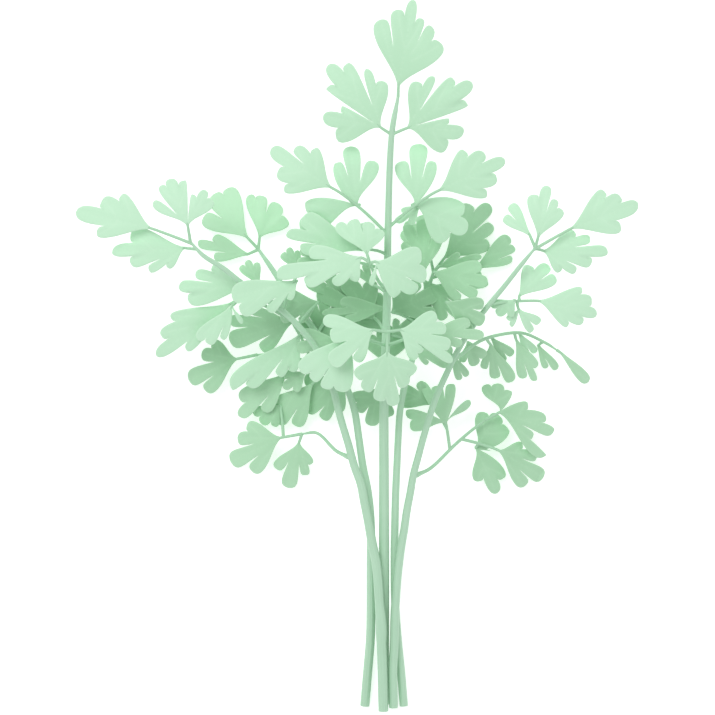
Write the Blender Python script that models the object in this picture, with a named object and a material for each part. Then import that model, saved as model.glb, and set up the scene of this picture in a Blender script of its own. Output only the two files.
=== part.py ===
"""A bunch of fresh chervil: five cut stems lying together, with their lobed leaflets.

The bunch lies on a flat surface. Its cut ends are near the origin, the stems run along +Y and
rise a little, and the leaves fan out to both sides and stand up towards +Z. Plan positions and
heights are written in millimetres for a bunch of DESIGN_LENGTH by DESIGN_HEIGHT, and follow the
driving dimensions from there.
"""

import math
from dataclasses import dataclass

import bmesh
import bpy
from mathutils import Vector

# Driving dimensions, in metres
BUNCH_LENGTH = 0.214      # cut ends to the tip of the crown leaflet
BUNCH_HEIGHT = 0.050      # surface to the top of the front leaf
STEM_RADIUS = 0.0016      # the middle stem at its cut end
TWIG_RADIUS = 0.0006      # a leaf's rachis where it leaves its stem
BLADE_THICKNESS = 0.0006
STALK_WIDTH = 0.0011      # the flat stalk of one leaflet
CLEARANCE = 0.0003        # between pieces that touch

# The size that the plan and the heights below are written for, in millimetres
DESIGN_LENGTH = 214.0
DESIGN_HEIGHT = 50.0
PLAN = BUNCH_LENGTH / DESIGN_LENGTH
LIFT = BUNCH_HEIGHT / DESIGN_HEIGHT

# How the stems rise from their cut ends, and how their tubes are drawn
STEM_RISE = 0.19          # height gained for each unit of length in the bundle
ROUTE_STEPS = 4           # tube rings between two points of a route
TUBE_RESOLUTION = 2       # eight sides

# How lobes are cut, as shares of a lobe's reach from the leaflet's base
NOTCH = 0.92              # between two lobes of one part
CLEFT = 0.72              # between two parts, where a leaflet gives no other
WEB = 0.16                # between lobes that stand far apart
LOBE_HALF_ANGLE = math.radians(17)
EDGE_ANGLE = 11.0         # from an outermost lobe's axis to its free edge, in degrees
SHOULDER = 0.84           # how full a lobe is, midway between its tip and its notch
INNER_RING = 0.55

# How far back a branch leaves its stem, as a share of its distance from it
TWIG_LEAN = 0.5
STALK_LEAN = 0.6

LEAF_FRONT = (0.50, 0.86, 0.56, 1.0)
LEAF_BACK = (0.36, 0.66, 0.42, 1.0)
STEM_PALE = (0.48, 0.80, 0.54, 1.0)


@dataclass
class Stem:
    """A cut stem: its bundle part in stem radii off the middle line, then its free route."""

    name: str
    radius: float         # share of STEM_RADIUS at the cut end
    layer: float          # height of its axis over the surface at its cut end, in stem radii
    bundle: tuple         # (offset in stem radii, y)
    free: tuple           # (x, y, z)
    tip_radius: float     # share of STEM_RADIUS at its far end


@dataclass
class Twig:
    """A rachis that branches from a stem: its route, with its first point near its parent."""

    name: str
    parent: str
    route: tuple


@dataclass
class Leaflet:
    """A lobed leaflet on its stalk, drawn round its base; lobe tips are given from the base."""

    name: str
    parent: str
    base: tuple
    parts: tuple          # each part is a tuple of lobe tips (dx, dy)
    fall: float = 3.0     # how far the longest lobe's tip lies below the base
    bow: float = 1.2      # how far the middle stands above a straight fall
    roll: float = 0.0     # height gained to the left of its axis, for one length across
    arch: float = 3.0     # how far the sides fall off, for one length across, squared
    clefts: tuple = ()    # depth of the cleft after each part, as a share of the lobes' reach
    edge: float = EDGE_ANGLE
    back: bool = False
    stalk: bool = True


def stem_specs():
    """Return the five stems, from the middle one outwards."""
    return [
        Stem("stem_middle", 0.97, 0.97,
             ((0.0, 2), (0.0, 24), (0.0, 46)),
             ((0, 70, 15.2), (0, 93, 19.5), (0.5, 110, 23), (1, 128, 26), (1.2, 145, 29),
              (2.1, 171, 33), (4.2, 184.5, 35)), 0.46),
        Stem("stem_left_front", 0.90, 3.15,
             ((-0.1, 0), (-0.25, 12), (-0.45, 20.5), (-0.7, 29), (-1.3, 42.6), (-2.3, 51.3),
              (-3.0, 57.6), (-3.7, 63)),
             ((-7, 68.5, 17.9), (-9, 74, 18.6), (-10.6, 80, 19.5), (-13, 88, 21),
              (-16, 99, 23), (-21, 110, 26), (-30, 120, 29), (-41.7, 128, 31), (-48, 133, 32),
              (-54, 136.8, 32.5), (-58, 141, 33)), 0.38),
        Stem("stem_left_back", 0.84, 0.84,
             ((-3.6, 1.5), (-3.05, 12), (-2.6, 20.5), (-2.45, 28), (-2.45, 43), (-2.45, 54.6),
              (-2.8, 63)),
             ((-5.3, 68.5, 13.7), (-6.4, 74, 14.2), (-7.6, 82.5, 14.7), (-9, 91, 14.6),
              (-12, 99, 14), (-19, 112, 12), (-28, 124, 9), (-33, 132, 7), (-37.8, 139, 5)),
             0.44),
        Stem("stem_right_front", 0.80, 2.54,
             ((1.8, 1), (1.7, 12), (1.95, 20.5), (2.05, 29), (2.55, 40.5), (3.2, 49),
              (3.8, 54.6), (4.3, 60.3)),
             ((7.9, 65.7, 16.5), (8.9, 71.4, 17.4), (10.4, 77, 18.2), (12.3, 84, 19.2),
              (15.3, 93.6, 20.5), (19, 102, 21.5), (23, 110, 23), (29, 119, 26),
              (36.3, 128, 28.5), (41, 134, 29.5), (45.3, 139.2, 30)), 0.38),
        Stem("stem_right_back", 0.76, 0.76,
             ((3.75, 1.5), (3.2, 12), (2.6, 21.6), (2.1, 33.6), (2.0, 45.6), (2.05, 54.6),
              (2.2, 65.7)),
             ((3.9, 74, 14.4), (4.3, 82.5, 14.6), (4.8, 90, 14.2), (6.3, 98, 13.3),
              (9.3, 108.6, 12), (12.3, 123.6, 9), (14.9, 132, 6.5)), 0.46),
    ]


def twig_specs():
    """Return the rachises that carry leaflets away from the stems."""
    return [
        Twig("rachis_left_middle", "stem_left_front",
             ((-20, 110, 25), (-27, 117, 24), (-36, 122, 23), (-43, 124.2, 22.5))),
        Twig("rachis_left_lower", "stem_left_back",
             ((-12, 99, 14), (-20, 104, 12.5), (-30, 107.2, 11), (-38, 107.2, 10))),
        Twig("rachis_left_low", "stem_left_front",
             ((-9.6, 74, 18), (-14.7, 78.6, 14.5), (-19.8, 83.5, 11.5), (-24.6, 83.4, 9.5))),
        Twig("rachis_front_upper", "stem_middle",
             ((0.6, 124, 25.5), (-1.5, 129, 33), (-3.6, 133, 39), (-4.6, 135, 42.5))),
        Twig("rachis_front", "stem_middle",
             ((0.4, 106, 22), (0.6, 108.5, 30), (0.8, 111.5, 38), (0.9, 114, 44.5))),
        Twig("rachis_right_lower", "stem_right_front",
             ((19.5, 103, 21), (23.5, 107.5, 18.5), (28.8, 111.3, 15.5), (34.8, 113.2, 13.5),
              (41.7, 113.7, 12), (48.3, 110.9, 10), (52, 108.6, 9))),
        Twig("rachis_right_low", "stem_right_front",
             ((9.3, 69, 16), (14.4, 73.4, 12.5), (21, 79.8, 10), (25.8, 84, 9.4),
              (30.5, 87.6, 9))),
    ]


def leaflet_specs():
    """Return every leaflet, frond by frond."""
    return (crown_frond() + front_frond() + left_fronds() + left_back_frond() +
            left_low_fronds() + right_fronds() + right_back_frond() + right_low_fronds())


def crown_frond():
    """Return the leaflets of the middle stem, from its tip down."""
    return [
        Leaflet("crown_leaflet", "stem_middle", (4.3, 187.8, 35.4),
                (((-5.4, 19.8),), ((0, 22.8), (4.5, 25.8), (7.2, 20.1)),
                 ((9.6, 18), (12.9, 12.6))), fall=2.5, bow=2.0, clefts=(0.66, 0.79)),
        Leaflet("upper_left_leaflet", "stem_middle", (-1.2, 175.4, 34.4),
                (((0.6, 13.8), (-4.2, 17.4)), ((-9.6, 19.2), (-15.6, 18.6), (-16.2, 11.4)),
                 ((-11.4, 6.3), (-17.1, 3.3), (-13.2, -3.3))), fall=1.5, bow=1.8, roll=-2,
                clefts=(0.45, 0.22)),
        Leaflet("upper_right_leaflet", "stem_middle", (7.2, 175.2, 34.4),
                (((2.7, 13.8), (7.8, 15.3)), ((13.2, 15), (19.2, 13.5), (18, 6.6)),
                 ((12.3, 2.7), (16.8, -0.9), (11.4, -6.6))), fall=1.8, bow=1.8, roll=2,
                clefts=(0.42, 0.23)),
        Leaflet("shoulder_left_terminal", "stem_middle", (-16.2, 157.5, 33.5),
                (((-4.2, 11.7), (-10.2, 12)), ((-17.7, 11.4), (-15.9, 3.9)), ((-13.8, -1.2),)),
                fall=2.0, bow=1.5, clefts=(0.75, 0.9), edge=6),
        Leaflet("shoulder_left_pair", "shoulder_left_terminal", (-8.1, 152, 29.6),
                (((5.4, 13.2),), ((-2.1, 17.7),), ((-6.6, 12.6),), ((-15.6, 0.6), (-17.1, -6.9))),
                fall=1.0, bow=0.8, clefts=(0.58, 0.72, 0.3), stalk=False),
        Leaflet("shoulder_right_terminal", "stem_middle", (16.8, 156.6, 33.5),
                (((6.9, 12), (13.2, 11.1)), ((19.5, 9), (17.1, 3.3)), ((14.1, -1.8),)),
                fall=2.0, bow=1.5, clefts=(0.86, 0.9), edge=6),
        Leaflet("shoulder_right_pair", "shoulder_right_terminal", (9.3, 151.8, 29.4),
                (((-4.8, 13.2),), ((1.5, 18.6),), ((6, 13.2),),
                 ((15, 0), (15.6, -7.5), (9.3, -10.5))), fall=1.4, bow=0.8,
                clefts=(0.67, 0.67, 0.3), stalk=False),
    ]


def front_frond():
    """Return the leaflets of the two front leaves, which stand up towards +Z."""
    return [
        Leaflet("front_terminal", "rachis_front", (0.9, 108, 47.5),
                (((-9.6, -7.2), (-6.6, -11.7)), ((-2.4, -14.7), (1.8, -16.2)),
                 ((5.4, -10.5), (8.7, -5.7))), fall=9.0, bow=1.5),
        Leaflet("front_left_leaflet", "rachis_front", (-3.3, 114.6, 46.2),
                (((-15, 3), (-12.9, -1.5)), ((-12.6, -10.2),), ((-4.8, -9.6),)),
                fall=4.0, bow=1.5),
        Leaflet("front_right_leaflet", "rachis_front", (4.8, 114.6, 46.2),
                (((10.8, 4.8), (13.8, 0.6)), ((15, -4.8), (15.6, -9.6)), ((6.9, -6.3), (4.5, -9))),
                fall=4.0, bow=1.5),
        Leaflet("front_under_leaflet", "rachis_front", (-9.6, 113.4, 39.5),
                (((-15.6, -11.1), (-11.7, -14.1)), ((-8.7, -16.2), (-3, -17.4))),
                fall=5.0, bow=1.0),
        Leaflet("front_upper_left_leaflet", "rachis_front_upper", (-6.9, 136.2, 43),
                (((-15.6, 1.8),), ((-25.2, -5.7), (-16.8, -7.5)), ((-8.1, -8.1), (-1.8, -7.2))),
                fall=5.0, bow=2.0),
        Leaflet("front_upper_right_leaflet", "rachis_front_upper", (-2.4, 135, 43),
                (((13.5, 3), (15, -5.1)), ((12.3, -8.7), (5.4, -10.8)), ((-1.2, -7.2),)),
                fall=4.0, bow=1.8),
        Leaflet("front_top_leaflet", "rachis_front_upper", (-5.1, 137.4, 41),
                (((-9, 9), (-4.5, 10.2)), ((0.3, 9.6), (4.8, 6.9))), fall=4.0, bow=1.0),
        Leaflet("front_far_left_leaflet", "stem_left_front", (-26.1, 129.3, 36),
                (((-19.5, -4.8), (-16.8, -9.6)), ((-8.4, -9.3),), ((-2.4, -5.7),)),
                fall=3.0, bow=1.5),
    ]


def left_fronds():
    """Return the leaflets of the left leaf and of the one below it."""
    return [
        Leaflet("left_terminal", "stem_left_front", (-70.2, 145.2, 32),
                (((-8.1, 10.2), (-14.1, 8.7)), ((-22.2, 4.8),), ((-15.9, -2.1),)),
                fall=3.0, bow=1.5, clefts=(0.94, 0.86), edge=6),
        Leaflet("left_upper_leaflet", "stem_left_front", (-58.8, 146, 34.5),
                (((7.5, 7.5), (5.4, 10.5), (1.2, 9.3)), ((-0.6, 13.5), (-5.7, 13.8), (-8.4, 11.7)),
                 ((-10.2, 7.2),)), fall=2.0, bow=1.2, clefts=(0.2, 0.43)),
        Leaflet("left_lower_leaflet", "stem_left_front", (-60, 139.2, 29.3),
                (((-15.9, 4.5), (-21.6, -1.5), (-16.2, -4.2)), ((-10.2, -7.2), (-4.8, -6))),
                fall=3.0, bow=1.2),
        Leaflet("left_middle_terminal", "rachis_left_middle", (-46.2, 122.4, 21.5),
                (((-18, -3.6), (-21, -9)), ((-22.2, -15.6),), ((-12.9, -14.1),)),
                fall=5.0, bow=1.6, clefts=(0.93, 0.88), edge=5),
        Leaflet("left_middle_lower_leaflet", "rachis_left_middle", (-45.6, 121.8, 26),
                (((-10.2, -10.2), (-7.2, -11.4)), ((-2.4, -10.2),), ((3, -5.4),)),
                fall=3.0, bow=1.0),
        Leaflet("left_middle_upper_leaflet", "rachis_left_middle", (-41.5, 127.4, 24.5),
                (((-9.9, 6.6), (-15, 4.5)), ((-20.1, 0), (-17.4, -3.6))), fall=2.5, bow=1.2),
    ]


def left_back_frond():
    """Return the leaflets of the left back leaf, which lies on the surface."""
    return [
        Leaflet("left_back_terminal", "stem_left_back", (-37.4, 142.6, 4.4),
                (((-2.7, 12.9), (0, 12.6)), ((5.7, 10.2), (8.7, 4.8))), fall=3.6, back=True),
        Leaflet("left_back_upper_leaflet", "stem_left_back", (-41.2, 142.6, 5.6),
                (((-5.4, 15), (-10.2, 12.9)), ((-13.5, 5.4),)), fall=4.7, back=True),
        Leaflet("left_back_lower_leaflet", "stem_left_back", (-41, 137.4, 5),
                (((-10.5, 5.1), (-15, 3.9)), ((-10.2, -0.9),)), fall=4.2, back=True),
    ]


def left_low_fronds():
    """Return the leaflets of the two lower leaves on the left."""
    return [
        Leaflet("left_lower_terminal", "rachis_left_lower", (-44.4, 105.9, 9.5),
                (((-6.9, 5.4), (-10.5, 1.8)), ((-14.4, -6.3),), ((-9, -9.9),)),
                fall=4.0, back=True),
        Leaflet("left_lower_front_leaflet", "rachis_left_lower", (-25.2, 113.1, 17.8),
                (((-20.4, -16.5), (-16.2, -15)), ((-6, -12.6), (-2.4, -11.1))),
                fall=4.5, bow=1.5),
        Leaflet("left_lower_middle_leaflet", "rachis_left_lower", (-29.4, 101.4, 9.5),
                (((-14.1, -7.5), (-14.4, -12.6)), ((-6.6, -11.4),)), fall=4.0, back=True),
        Leaflet("left_lower_under_leaflet", "rachis_left_lower", (-21.6, 98.4, 9),
                (((-14.4, -8.4), (-10.8, -11.7)), ((-4.5, -12.9),)), fall=5.5, back=True),
        Leaflet("left_low_terminal", "rachis_left_low", (-31.2, 82.2, 8.5),
                (((-9.9, 4.2), (-12.9, 0)), ((-15, -7.2),), ((-8.1, -10.5),)), fall=5.0),
        Leaflet("left_low_leaflet", "rachis_left_low", (-25.6, 80.6, 8),
                (((-7.2, -7.5),), ((-3.3, -13.5),), ((2.7, -9.6), (3.9, -6.3))), fall=7.2),
    ]


def right_fronds():
    """Return the leaflets of the right leaf and of the one below it."""
    return [
        Leaflet("right_terminal", "stem_right_front", (56.4, 145.2, 29.5),
                (((9.3, 11.4), (14.4, 9.6)), ((19.8, 7.5),), ((14.7, -0.6),)), fall=3.0, bow=1.5,
                clefts=(0.94, 0.9), edge=7),
        Leaflet("right_upper_leaflet", "stem_right_front", (46.2, 142.6, 31.5),
                (((-1.8, 12.6), (2.7, 15.3)), ((5.4, 11.1), (7.2, 8.1))), fall=2.0, bow=1.2),
        Leaflet("right_left_leaflet", "stem_right_front", (43.6, 143.2, 29),
                (((-5.4, 9.3),), ((-7.8, 5.1),)), fall=2.0, bow=1.0),
        Leaflet("right_lower_leaflet", "stem_right_front", (48, 138.3, 27),
                (((9.3, 5.7), (13.8, 4.2)), ((19.2, -0.6), (14.4, -3.3)),
                 ((9.3, -6.6), (4.8, -6.3))), fall=3.0, bow=1.2),
        Leaflet("right_middle_terminal", "stem_right_front", (46.8, 123.3, 23),
                (((12.6, 3.9), (15.6, 0.6)), ((17.1, -4.2), (12.9, -6.6)), ((8.1, -7.8),)),
                fall=4.0, bow=1.4, clefts=(0.95, 0.92), edge=5),
        Leaflet("right_middle_upper_leaflet", "right_middle_terminal", (40.6, 124.9, 25),
                (((2.7, 9.3), (8.7, 9.3)), ((11.1, 5.4),)), fall=2.0),
        Leaflet("right_middle_lower_leaflet", "right_middle_terminal", (40.4, 120.9, 23.6),
                (((-3.6, -3), (-2.1, -5.4)), ((3.6, -7.2),), ((6.6, -3.9),)),
                fall=3.0, bow=0.6),
    ]


def right_back_frond():
    """Return the leaflets of the right back leaf, which lies on the surface."""
    return [
        Leaflet("right_back_left_leaflet", "stem_right_back", (14, 136.4, 6),
                (((-8.7, 7.8), (-7.5, 10.8)), ((-2.4, 12.9),)), fall=5.2, back=True),
        Leaflet("right_back_terminal", "stem_right_back", (18.3, 136.4, 6),
                (((7.5, 16.2), (13.5, 16.2)), ((14.7, 9.6), (13.5, 4.2))), fall=5.2, back=True),
        Leaflet("right_back_right_leaflet", "stem_right_back", (27.6, 133.2, 5),
                (((10.2, 9.6), (12, 6)), ((11.1, 3.3),)), fall=4.2, back=True),
        Leaflet("right_back_lower_leaflet", "stem_right_back", (18.9, 128.4, 5),
                (((10.5, 3.3), (12.6, 0)), ((4.5, -6.9),)), fall=4.1, back=True),
    ]


def right_low_fronds():
    """Return the leaflets of the lower leaves on the right."""
    return [
        Leaflet("right_lower_terminal", "rachis_right_lower", (53.4, 107.6, 8.4),
                (((8.1, -8.7),),), fall=4.0, bow=0.6, back=True),
        Leaflet("right_lower_middle_leaflet", "rachis_right_lower", (39.9, 111.4, 11),
                (((6, -8.1), (6, -12)), ((2.1, -11.4),)), fall=6.0, back=True),
        Leaflet("right_lower_inner_leaflet", "rachis_right_lower", (32.1, 110.2, 11.8),
                (((6.6, -11.1),), ((1.5, -10.2),), ((-2.4, -7.2),)), fall=6.0, back=True),
        Leaflet("right_low_upper_leaflet", "rachis_right_low", (18.6, 86.7, 10.5),
                (((-12, 3.6), (-10.8, -1.2)), ((-7.2, 12.3), (-3.3, 11.1)),
                 ((2.4, 11.7), (7.2, 6.9))), fall=3.0, back=True),
        Leaflet("right_low_outer_leaflet", "rachis_right_low", (34.8, 89.9, 9.5),
                (((-4.8, 8.1), (-0.6, 8.7), (3.6, 6.3)), ((8.4, 3), (14.1, -2.1), (16.5, -5.4)),
                 ((14.1, -12.9), (9.6, -8.1))), fall=4.0, bow=1.8),
        Leaflet("right_low_terminal", "rachis_right_low", (34.8, 78.3, 8),
                (((6.9, 2.1), (11.4, -1.5)), ((13.2, -8.1),), ((7.5, -10.8),)), fall=7.4),
        Leaflet("right_low_pair", "right_low_terminal", (27.6, 79.2, 6.6),
                (((2.4, 10.8), (6.6, 10.2), (10.2, 5.1)), ((0.6, -10.2), (6.3, -13.8),
                 (9, -8.7))), fall=4.0, stalk=False),
    ]


def smooth_route(points, steps=ROUTE_STEPS):
    """Return points on a Catmull-Rom curve through the given ones."""
    padded = [points[0] * 2 - points[1], *points, points[-1] * 2 - points[-2]]
    route = []
    for index in range(1, len(padded) - 2):
        before, start, end, after = padded[index - 1:index + 3]
        for step in range(steps):
            t = step / steps
            route.append(0.5 * ((2 * start) + (end - before) * t
                                + (2 * before - 5 * start + 4 * end - after) * t ** 2
                                + (3 * start - before - 3 * end + after) * t ** 3))
    return route + [points[-1]]


def place(point):
    """Return a design point in metres."""
    return Vector((point[0] * PLAN, point[1] * PLAN, point[2] * LIFT))


def stem_route(stem):
    """Return a stem's axis: the bundle, spaced by the stems' own radii, then the free part."""
    bundle = [Vector((offset * STEM_RADIUS, y * PLAN, stem.layer * STEM_RADIUS
                      + STEM_RISE * y * LIFT)) for offset, y in stem.bundle]
    return smooth_route(bundle + [place(point) for point in stem.free])


def nearest_on_route(route, point):
    """Return the nearest point of a polyline, the line's direction there and its share."""
    best = None
    for index in range(len(route) - 1):
        start, run = route[index], route[index + 1] - route[index]
        share = max(0.0, min(1.0, (point - start).dot(run) / run.length_squared))
        spot = start + run * share
        gap = (point - spot).length
        if best is None or gap < best[0]:
            best = (gap, spot, run.normalized(), (index + share) / (len(route) - 1))
    return best[1:]


def clear_of(axis, toward, half_width, lean):
    """Return where a piece may start on its way to a point so that it stays clear of an axis.

    The piece leaves the axis nearer its root than the nearest spot, by lean times the distance.
    """
    route, radii = axis
    spot, direction, share = nearest_on_route(route, toward)
    if share < 1.0:
        spot, direction, share = nearest_on_route(
            route, spot - direction * (toward - spot).length * lean)
    run = (toward - spot).normalized()
    radius = radii[round(share * (len(radii) - 1))]
    sine = direction.cross(run).length
    if share == 1.0:
        return spot, spot + run * (radius + CLEARANCE + half_width)
    return spot, spot + run * (radius + CLEARANCE + half_width * abs(direction.dot(run))) / sine


def leaf_material(name, colour, roughness):
    """Return a Principled material."""
    material = bpy.data.materials.new(name)
    material.use_nodes = True
    shader = material.node_tree.nodes["Principled BSDF"]
    shader.inputs["Base Color"].default_value = colour
    shader.inputs["Roughness"].default_value = roughness
    shader.inputs["Metallic"].default_value = 0.0
    return material


def add_tube(name, route, radii, parent):
    """Add a closed round tube along a route."""
    curve = bpy.data.curves.new(name, "CURVE")
    curve.dimensions = "3D"
    curve.bevel_depth = max(radii)
    curve.bevel_resolution = TUBE_RESOLUTION
    curve.use_fill_caps = True
    spline = curve.splines.new("POLY")
    spline.points.add(len(route) - 1)
    for spot, position, radius in zip(spline.points, route, radii):
        spot.co = (*(position - route[0]), 1.0)
        spot.radius = radius / curve.bevel_depth
    tube = bpy.data.objects.new(name, curve)
    tube.location = route[0]
    tube.parent = parent
    curve.materials.append(leaf_material(name, STEM_PALE, 0.5))
    bpy.context.scene.collection.objects.link(tube)


def cleft_after(leaflet, number, other):
    """Return how deep the cleft between two neighbouring parts of a leaflet is."""
    return leaflet.clefts[min(number, other)] if leaflet.clefts else CLEFT


def lobe_outline(leaflet, heading):
    """Return the blade's plan outline from its base: (angle off the heading, reach)."""
    tips = []
    for number, part in enumerate(leaflet.parts):
        for dx, dy in part:
            angle = math.atan2(dy, dx) - heading
            angle = (angle + math.pi) % math.tau - math.pi
            tips.append((angle, math.hypot(dx, dy) * PLAN, number))
    tips.sort()
    edge = math.radians(leaflet.edge)
    outline = [(tips[0][0] - edge, tips[0][1] * WEB)]
    for index, (angle, reach, number) in enumerate(tips):
        previous = tips[index - 1] if index else None
        following = tips[index + 1] if index + 1 < len(tips) else None
        before = edge if previous is None else min(LOBE_HALF_ANGLE, (angle - previous[0]) / 2)
        after = edge if following is None else min(LOBE_HALF_ANGLE, (following[0] - angle) / 2)
        floor_before = outline[-1][1]
        if following is None:
            floor_after = reach * WEB
        elif after < (following[0] - angle) / 2:
            floor_after = min(reach, following[1]) * WEB
        else:
            share = NOTCH if following[2] == number else cleft_after(leaflet, number,
                                                                     following[2])
            floor_after = min(reach, following[1]) * share
        bend = math.sqrt(0.5)
        outline.append((angle - before * bend,
                        floor_before + (reach - floor_before) * SHOULDER))
        outline.append((angle, reach))
        outline.append((angle + after * bend, floor_after + (reach - floor_after) * SHOULDER))
        outline.append((angle + after, floor_after))
        if following is not None and after < (following[0] - angle) / 2:
            outline.append((following[0] - LOBE_HALF_ANGLE, floor_after))
    return outline


def longest_tip(leaflet):
    """Return the vector to the leaflet's farthest lobe tip, in design units."""
    tips = [Vector(tip) for part in leaflet.parts for tip in part]
    return max(tips, key=lambda tip: tip.length)


def leaflet_heading(leaflet):
    """Return the direction of the blade's axis: the mean of its outermost lobes."""
    total = Vector((0, 0))
    for part in leaflet.parts:
        for tip in part:
            total += Vector(tip)
    return math.atan2(total.y, total.x)


def add_leaflet(leaflet, root, parent):
    """Add a leaflet's closed thin solid: blade and stalk, fanned round the base."""
    heading = leaflet_heading(leaflet)
    length = longest_tip(leaflet).length * PLAN
    base = place(leaflet.base)

    def height(x, y):
        """Return the blade's middle height over its base, and its slope's length factor."""
        along = (x * math.cos(heading) + y * math.sin(heading)) / length
        across = (y * math.cos(heading) - x * math.sin(heading)) / length
        rise = (-leaflet.fall * along + 4 * leaflet.bow * along * (1 - along)
                + leaflet.roll * across - leaflet.arch * across ** 2) * LIFT
        slope_along = (-leaflet.fall + 4 * leaflet.bow * (1 - 2 * along)) * LIFT / length
        slope_across = (leaflet.roll - 2 * leaflet.arch * across) * LIFT / length
        return rise, math.sqrt(1 + slope_along ** 2 + slope_across ** 2)

    rim = []
    for angle, reach in lobe_outline(leaflet, heading):
        turned = heading + angle
        rim.append((math.cos(turned) * reach, math.sin(turned) * reach, None))
    if root is None:
        back = heading + math.pi
        rim.append((math.cos(back) * STALK_WIDTH / 2, math.sin(back) * STALK_WIDTH / 2, None))
    else:
        run = root - base
        reach = math.hypot(run.x, run.y)
        side = Vector((-run.y, run.x, 0)) / reach * STALK_WIDTH / 2
        for corner in (side, run + side, run - side, -side):
            rim.append((corner.x, corner.y, run.z if corner.dot(run) > reach ** 2 / 2 else 0.0))
    rim.sort(key=lambda point: (math.atan2(point[1], point[0]) - heading) % math.tau)

    mesh = bmesh.new()
    layers = []
    for side in (0.5, -0.5):
        centre = mesh.verts.new((0, 0, side * BLADE_THICKNESS))
        rings = []
        for share in (INNER_RING, 1.0):
            ring = []
            for x, y, stalk_height in rim:
                middle, stretch = height(x * share, y * share)
                if stalk_height is not None:
                    middle, stretch = stalk_height * share, 1.0
                ring.append(mesh.verts.new((x * share, y * share,
                                            middle + side * BLADE_THICKNESS * stretch)))
            rings.append(ring)
        layers.append((centre, *rings))
    (top, top_inner, top_outer), (low, low_inner, low_outer) = layers
    for index in range(len(rim)):
        after = (index + 1) % len(rim)
        mesh.faces.new((top, top_inner[index], top_inner[after]))
        mesh.faces.new((top_inner[index], top_outer[index], top_outer[after], top_inner[after]))
        mesh.faces.new((low, low_inner[after], low_inner[index]))
        mesh.faces.new((low_inner[after], low_outer[after], low_outer[index], low_inner[index]))
        mesh.faces.new((top_outer[index], low_outer[index], low_outer[after], top_outer[after]))
    bmesh.ops.triangulate(mesh, faces=mesh.faces)
    data = bpy.data.meshes.new(leaflet.name)
    mesh.to_mesh(data)
    mesh.free()
    data.materials.append(leaf_material(leaflet.name, LEAF_BACK if leaflet.back else LEAF_FRONT,
                                        0.55))
    blade = bpy.data.objects.new(leaflet.name, data)
    blade.location = base
    blade.parent = parent
    bpy.context.scene.collection.objects.link(blade)


def bottom_centre():
    """Return the middle of the lowest level of the whole bunch's box."""
    graph = bpy.context.evaluated_depsgraph_get()
    spots = []
    for piece in bpy.data.objects:
        if piece.type != "EMPTY":
            shown = piece.evaluated_get(graph)
            spots += [shown.matrix_world @ corner.co for corner in shown.to_mesh().vertices]
            shown.to_mesh_clear()
    low, high = (Vector([pick(spot[axis] for spot in spots) for axis in range(3)])
                 for pick in (min, max))
    return Vector(((low.x + high.x) / 2, (low.y + high.y) / 2, low.z))


def build():
    """Build the bunch: stems, then rachises, then leaflets, each on what bears it."""
    for old in list(bpy.data.objects):
        bpy.data.objects.remove(old, do_unlink=True)
    bunch = bpy.data.objects.new("bunch", None)
    bpy.context.scene.collection.objects.link(bunch)
    axes = {}
    for stem in stem_specs():
        route = stem_route(stem)
        first, last = stem.radius * STEM_RADIUS, stem.tip_radius * STEM_RADIUS
        shares = [index / (len(route) - 1) for index in range(len(route))]
        radii = [first + (last - first) * share ** 1.6 for share in shares]
        axes[stem.name] = (route, radii)
        add_tube(stem.name, route, radii, bunch)
    for twig in twig_specs():
        points = [place(point) for point in twig.route]
        start = clear_of(axes[twig.parent], points[1], TWIG_RADIUS, TWIG_LEAN)[1]
        twig_route = smooth_route([start, *points[1:]])
        twig_radii = [TWIG_RADIUS * (1 - 0.3 * index / (len(twig_route) - 1))
                      for index in range(len(twig_route))]
        axes[twig.name] = (twig_route, twig_radii)
        add_tube(twig.name, twig_route, twig_radii, bunch)
    stalk_reach = math.hypot(STALK_WIDTH, BLADE_THICKNESS) / 2
    for leaflet in leaflet_specs():
        base = place(leaflet.base)
        root = None
        if leaflet.stalk:
            spot, root = clear_of(axes[leaflet.parent], base, stalk_reach, STALK_LEAN)
            axes[leaflet.name] = ([spot, base], [STALK_WIDTH / 2] * 2)
        add_leaflet(leaflet, root, bunch)
    bunch.location = -bottom_centre()


build()
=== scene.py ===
"""The looks of a bunch of fresh chervil, lying flat with its cut stems together.

The frame gives every stem, rachis and leaflet its place. Each is read back from its plain solid
and grown anew: ribbed tapering stems, and thin cupped blades with round lobes, folds, veins and
round stalks that run into what bears them.
"""

import logging
import math
from dataclasses import dataclass, field
from enum import Enum
from typing import ClassVar, Optional

import bmesh
import bpy
import numpy as np
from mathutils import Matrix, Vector
from mathutils.geometry import delaunay_2d_cdt

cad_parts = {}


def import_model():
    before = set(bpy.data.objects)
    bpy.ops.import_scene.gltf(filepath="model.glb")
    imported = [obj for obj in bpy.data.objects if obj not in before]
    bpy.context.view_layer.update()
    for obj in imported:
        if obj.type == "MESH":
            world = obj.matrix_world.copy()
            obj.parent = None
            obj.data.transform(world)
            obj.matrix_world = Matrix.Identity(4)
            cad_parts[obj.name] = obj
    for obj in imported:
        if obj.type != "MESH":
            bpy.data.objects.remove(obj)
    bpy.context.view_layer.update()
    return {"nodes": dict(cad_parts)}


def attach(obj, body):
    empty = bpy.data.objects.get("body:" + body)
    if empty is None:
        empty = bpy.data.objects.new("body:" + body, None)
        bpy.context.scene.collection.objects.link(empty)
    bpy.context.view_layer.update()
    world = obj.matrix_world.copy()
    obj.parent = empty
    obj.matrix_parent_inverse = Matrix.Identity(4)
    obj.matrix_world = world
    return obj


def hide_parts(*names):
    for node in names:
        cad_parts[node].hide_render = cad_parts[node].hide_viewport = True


LOG = logging.getLogger("chervil")
MM = 0.001


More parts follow.
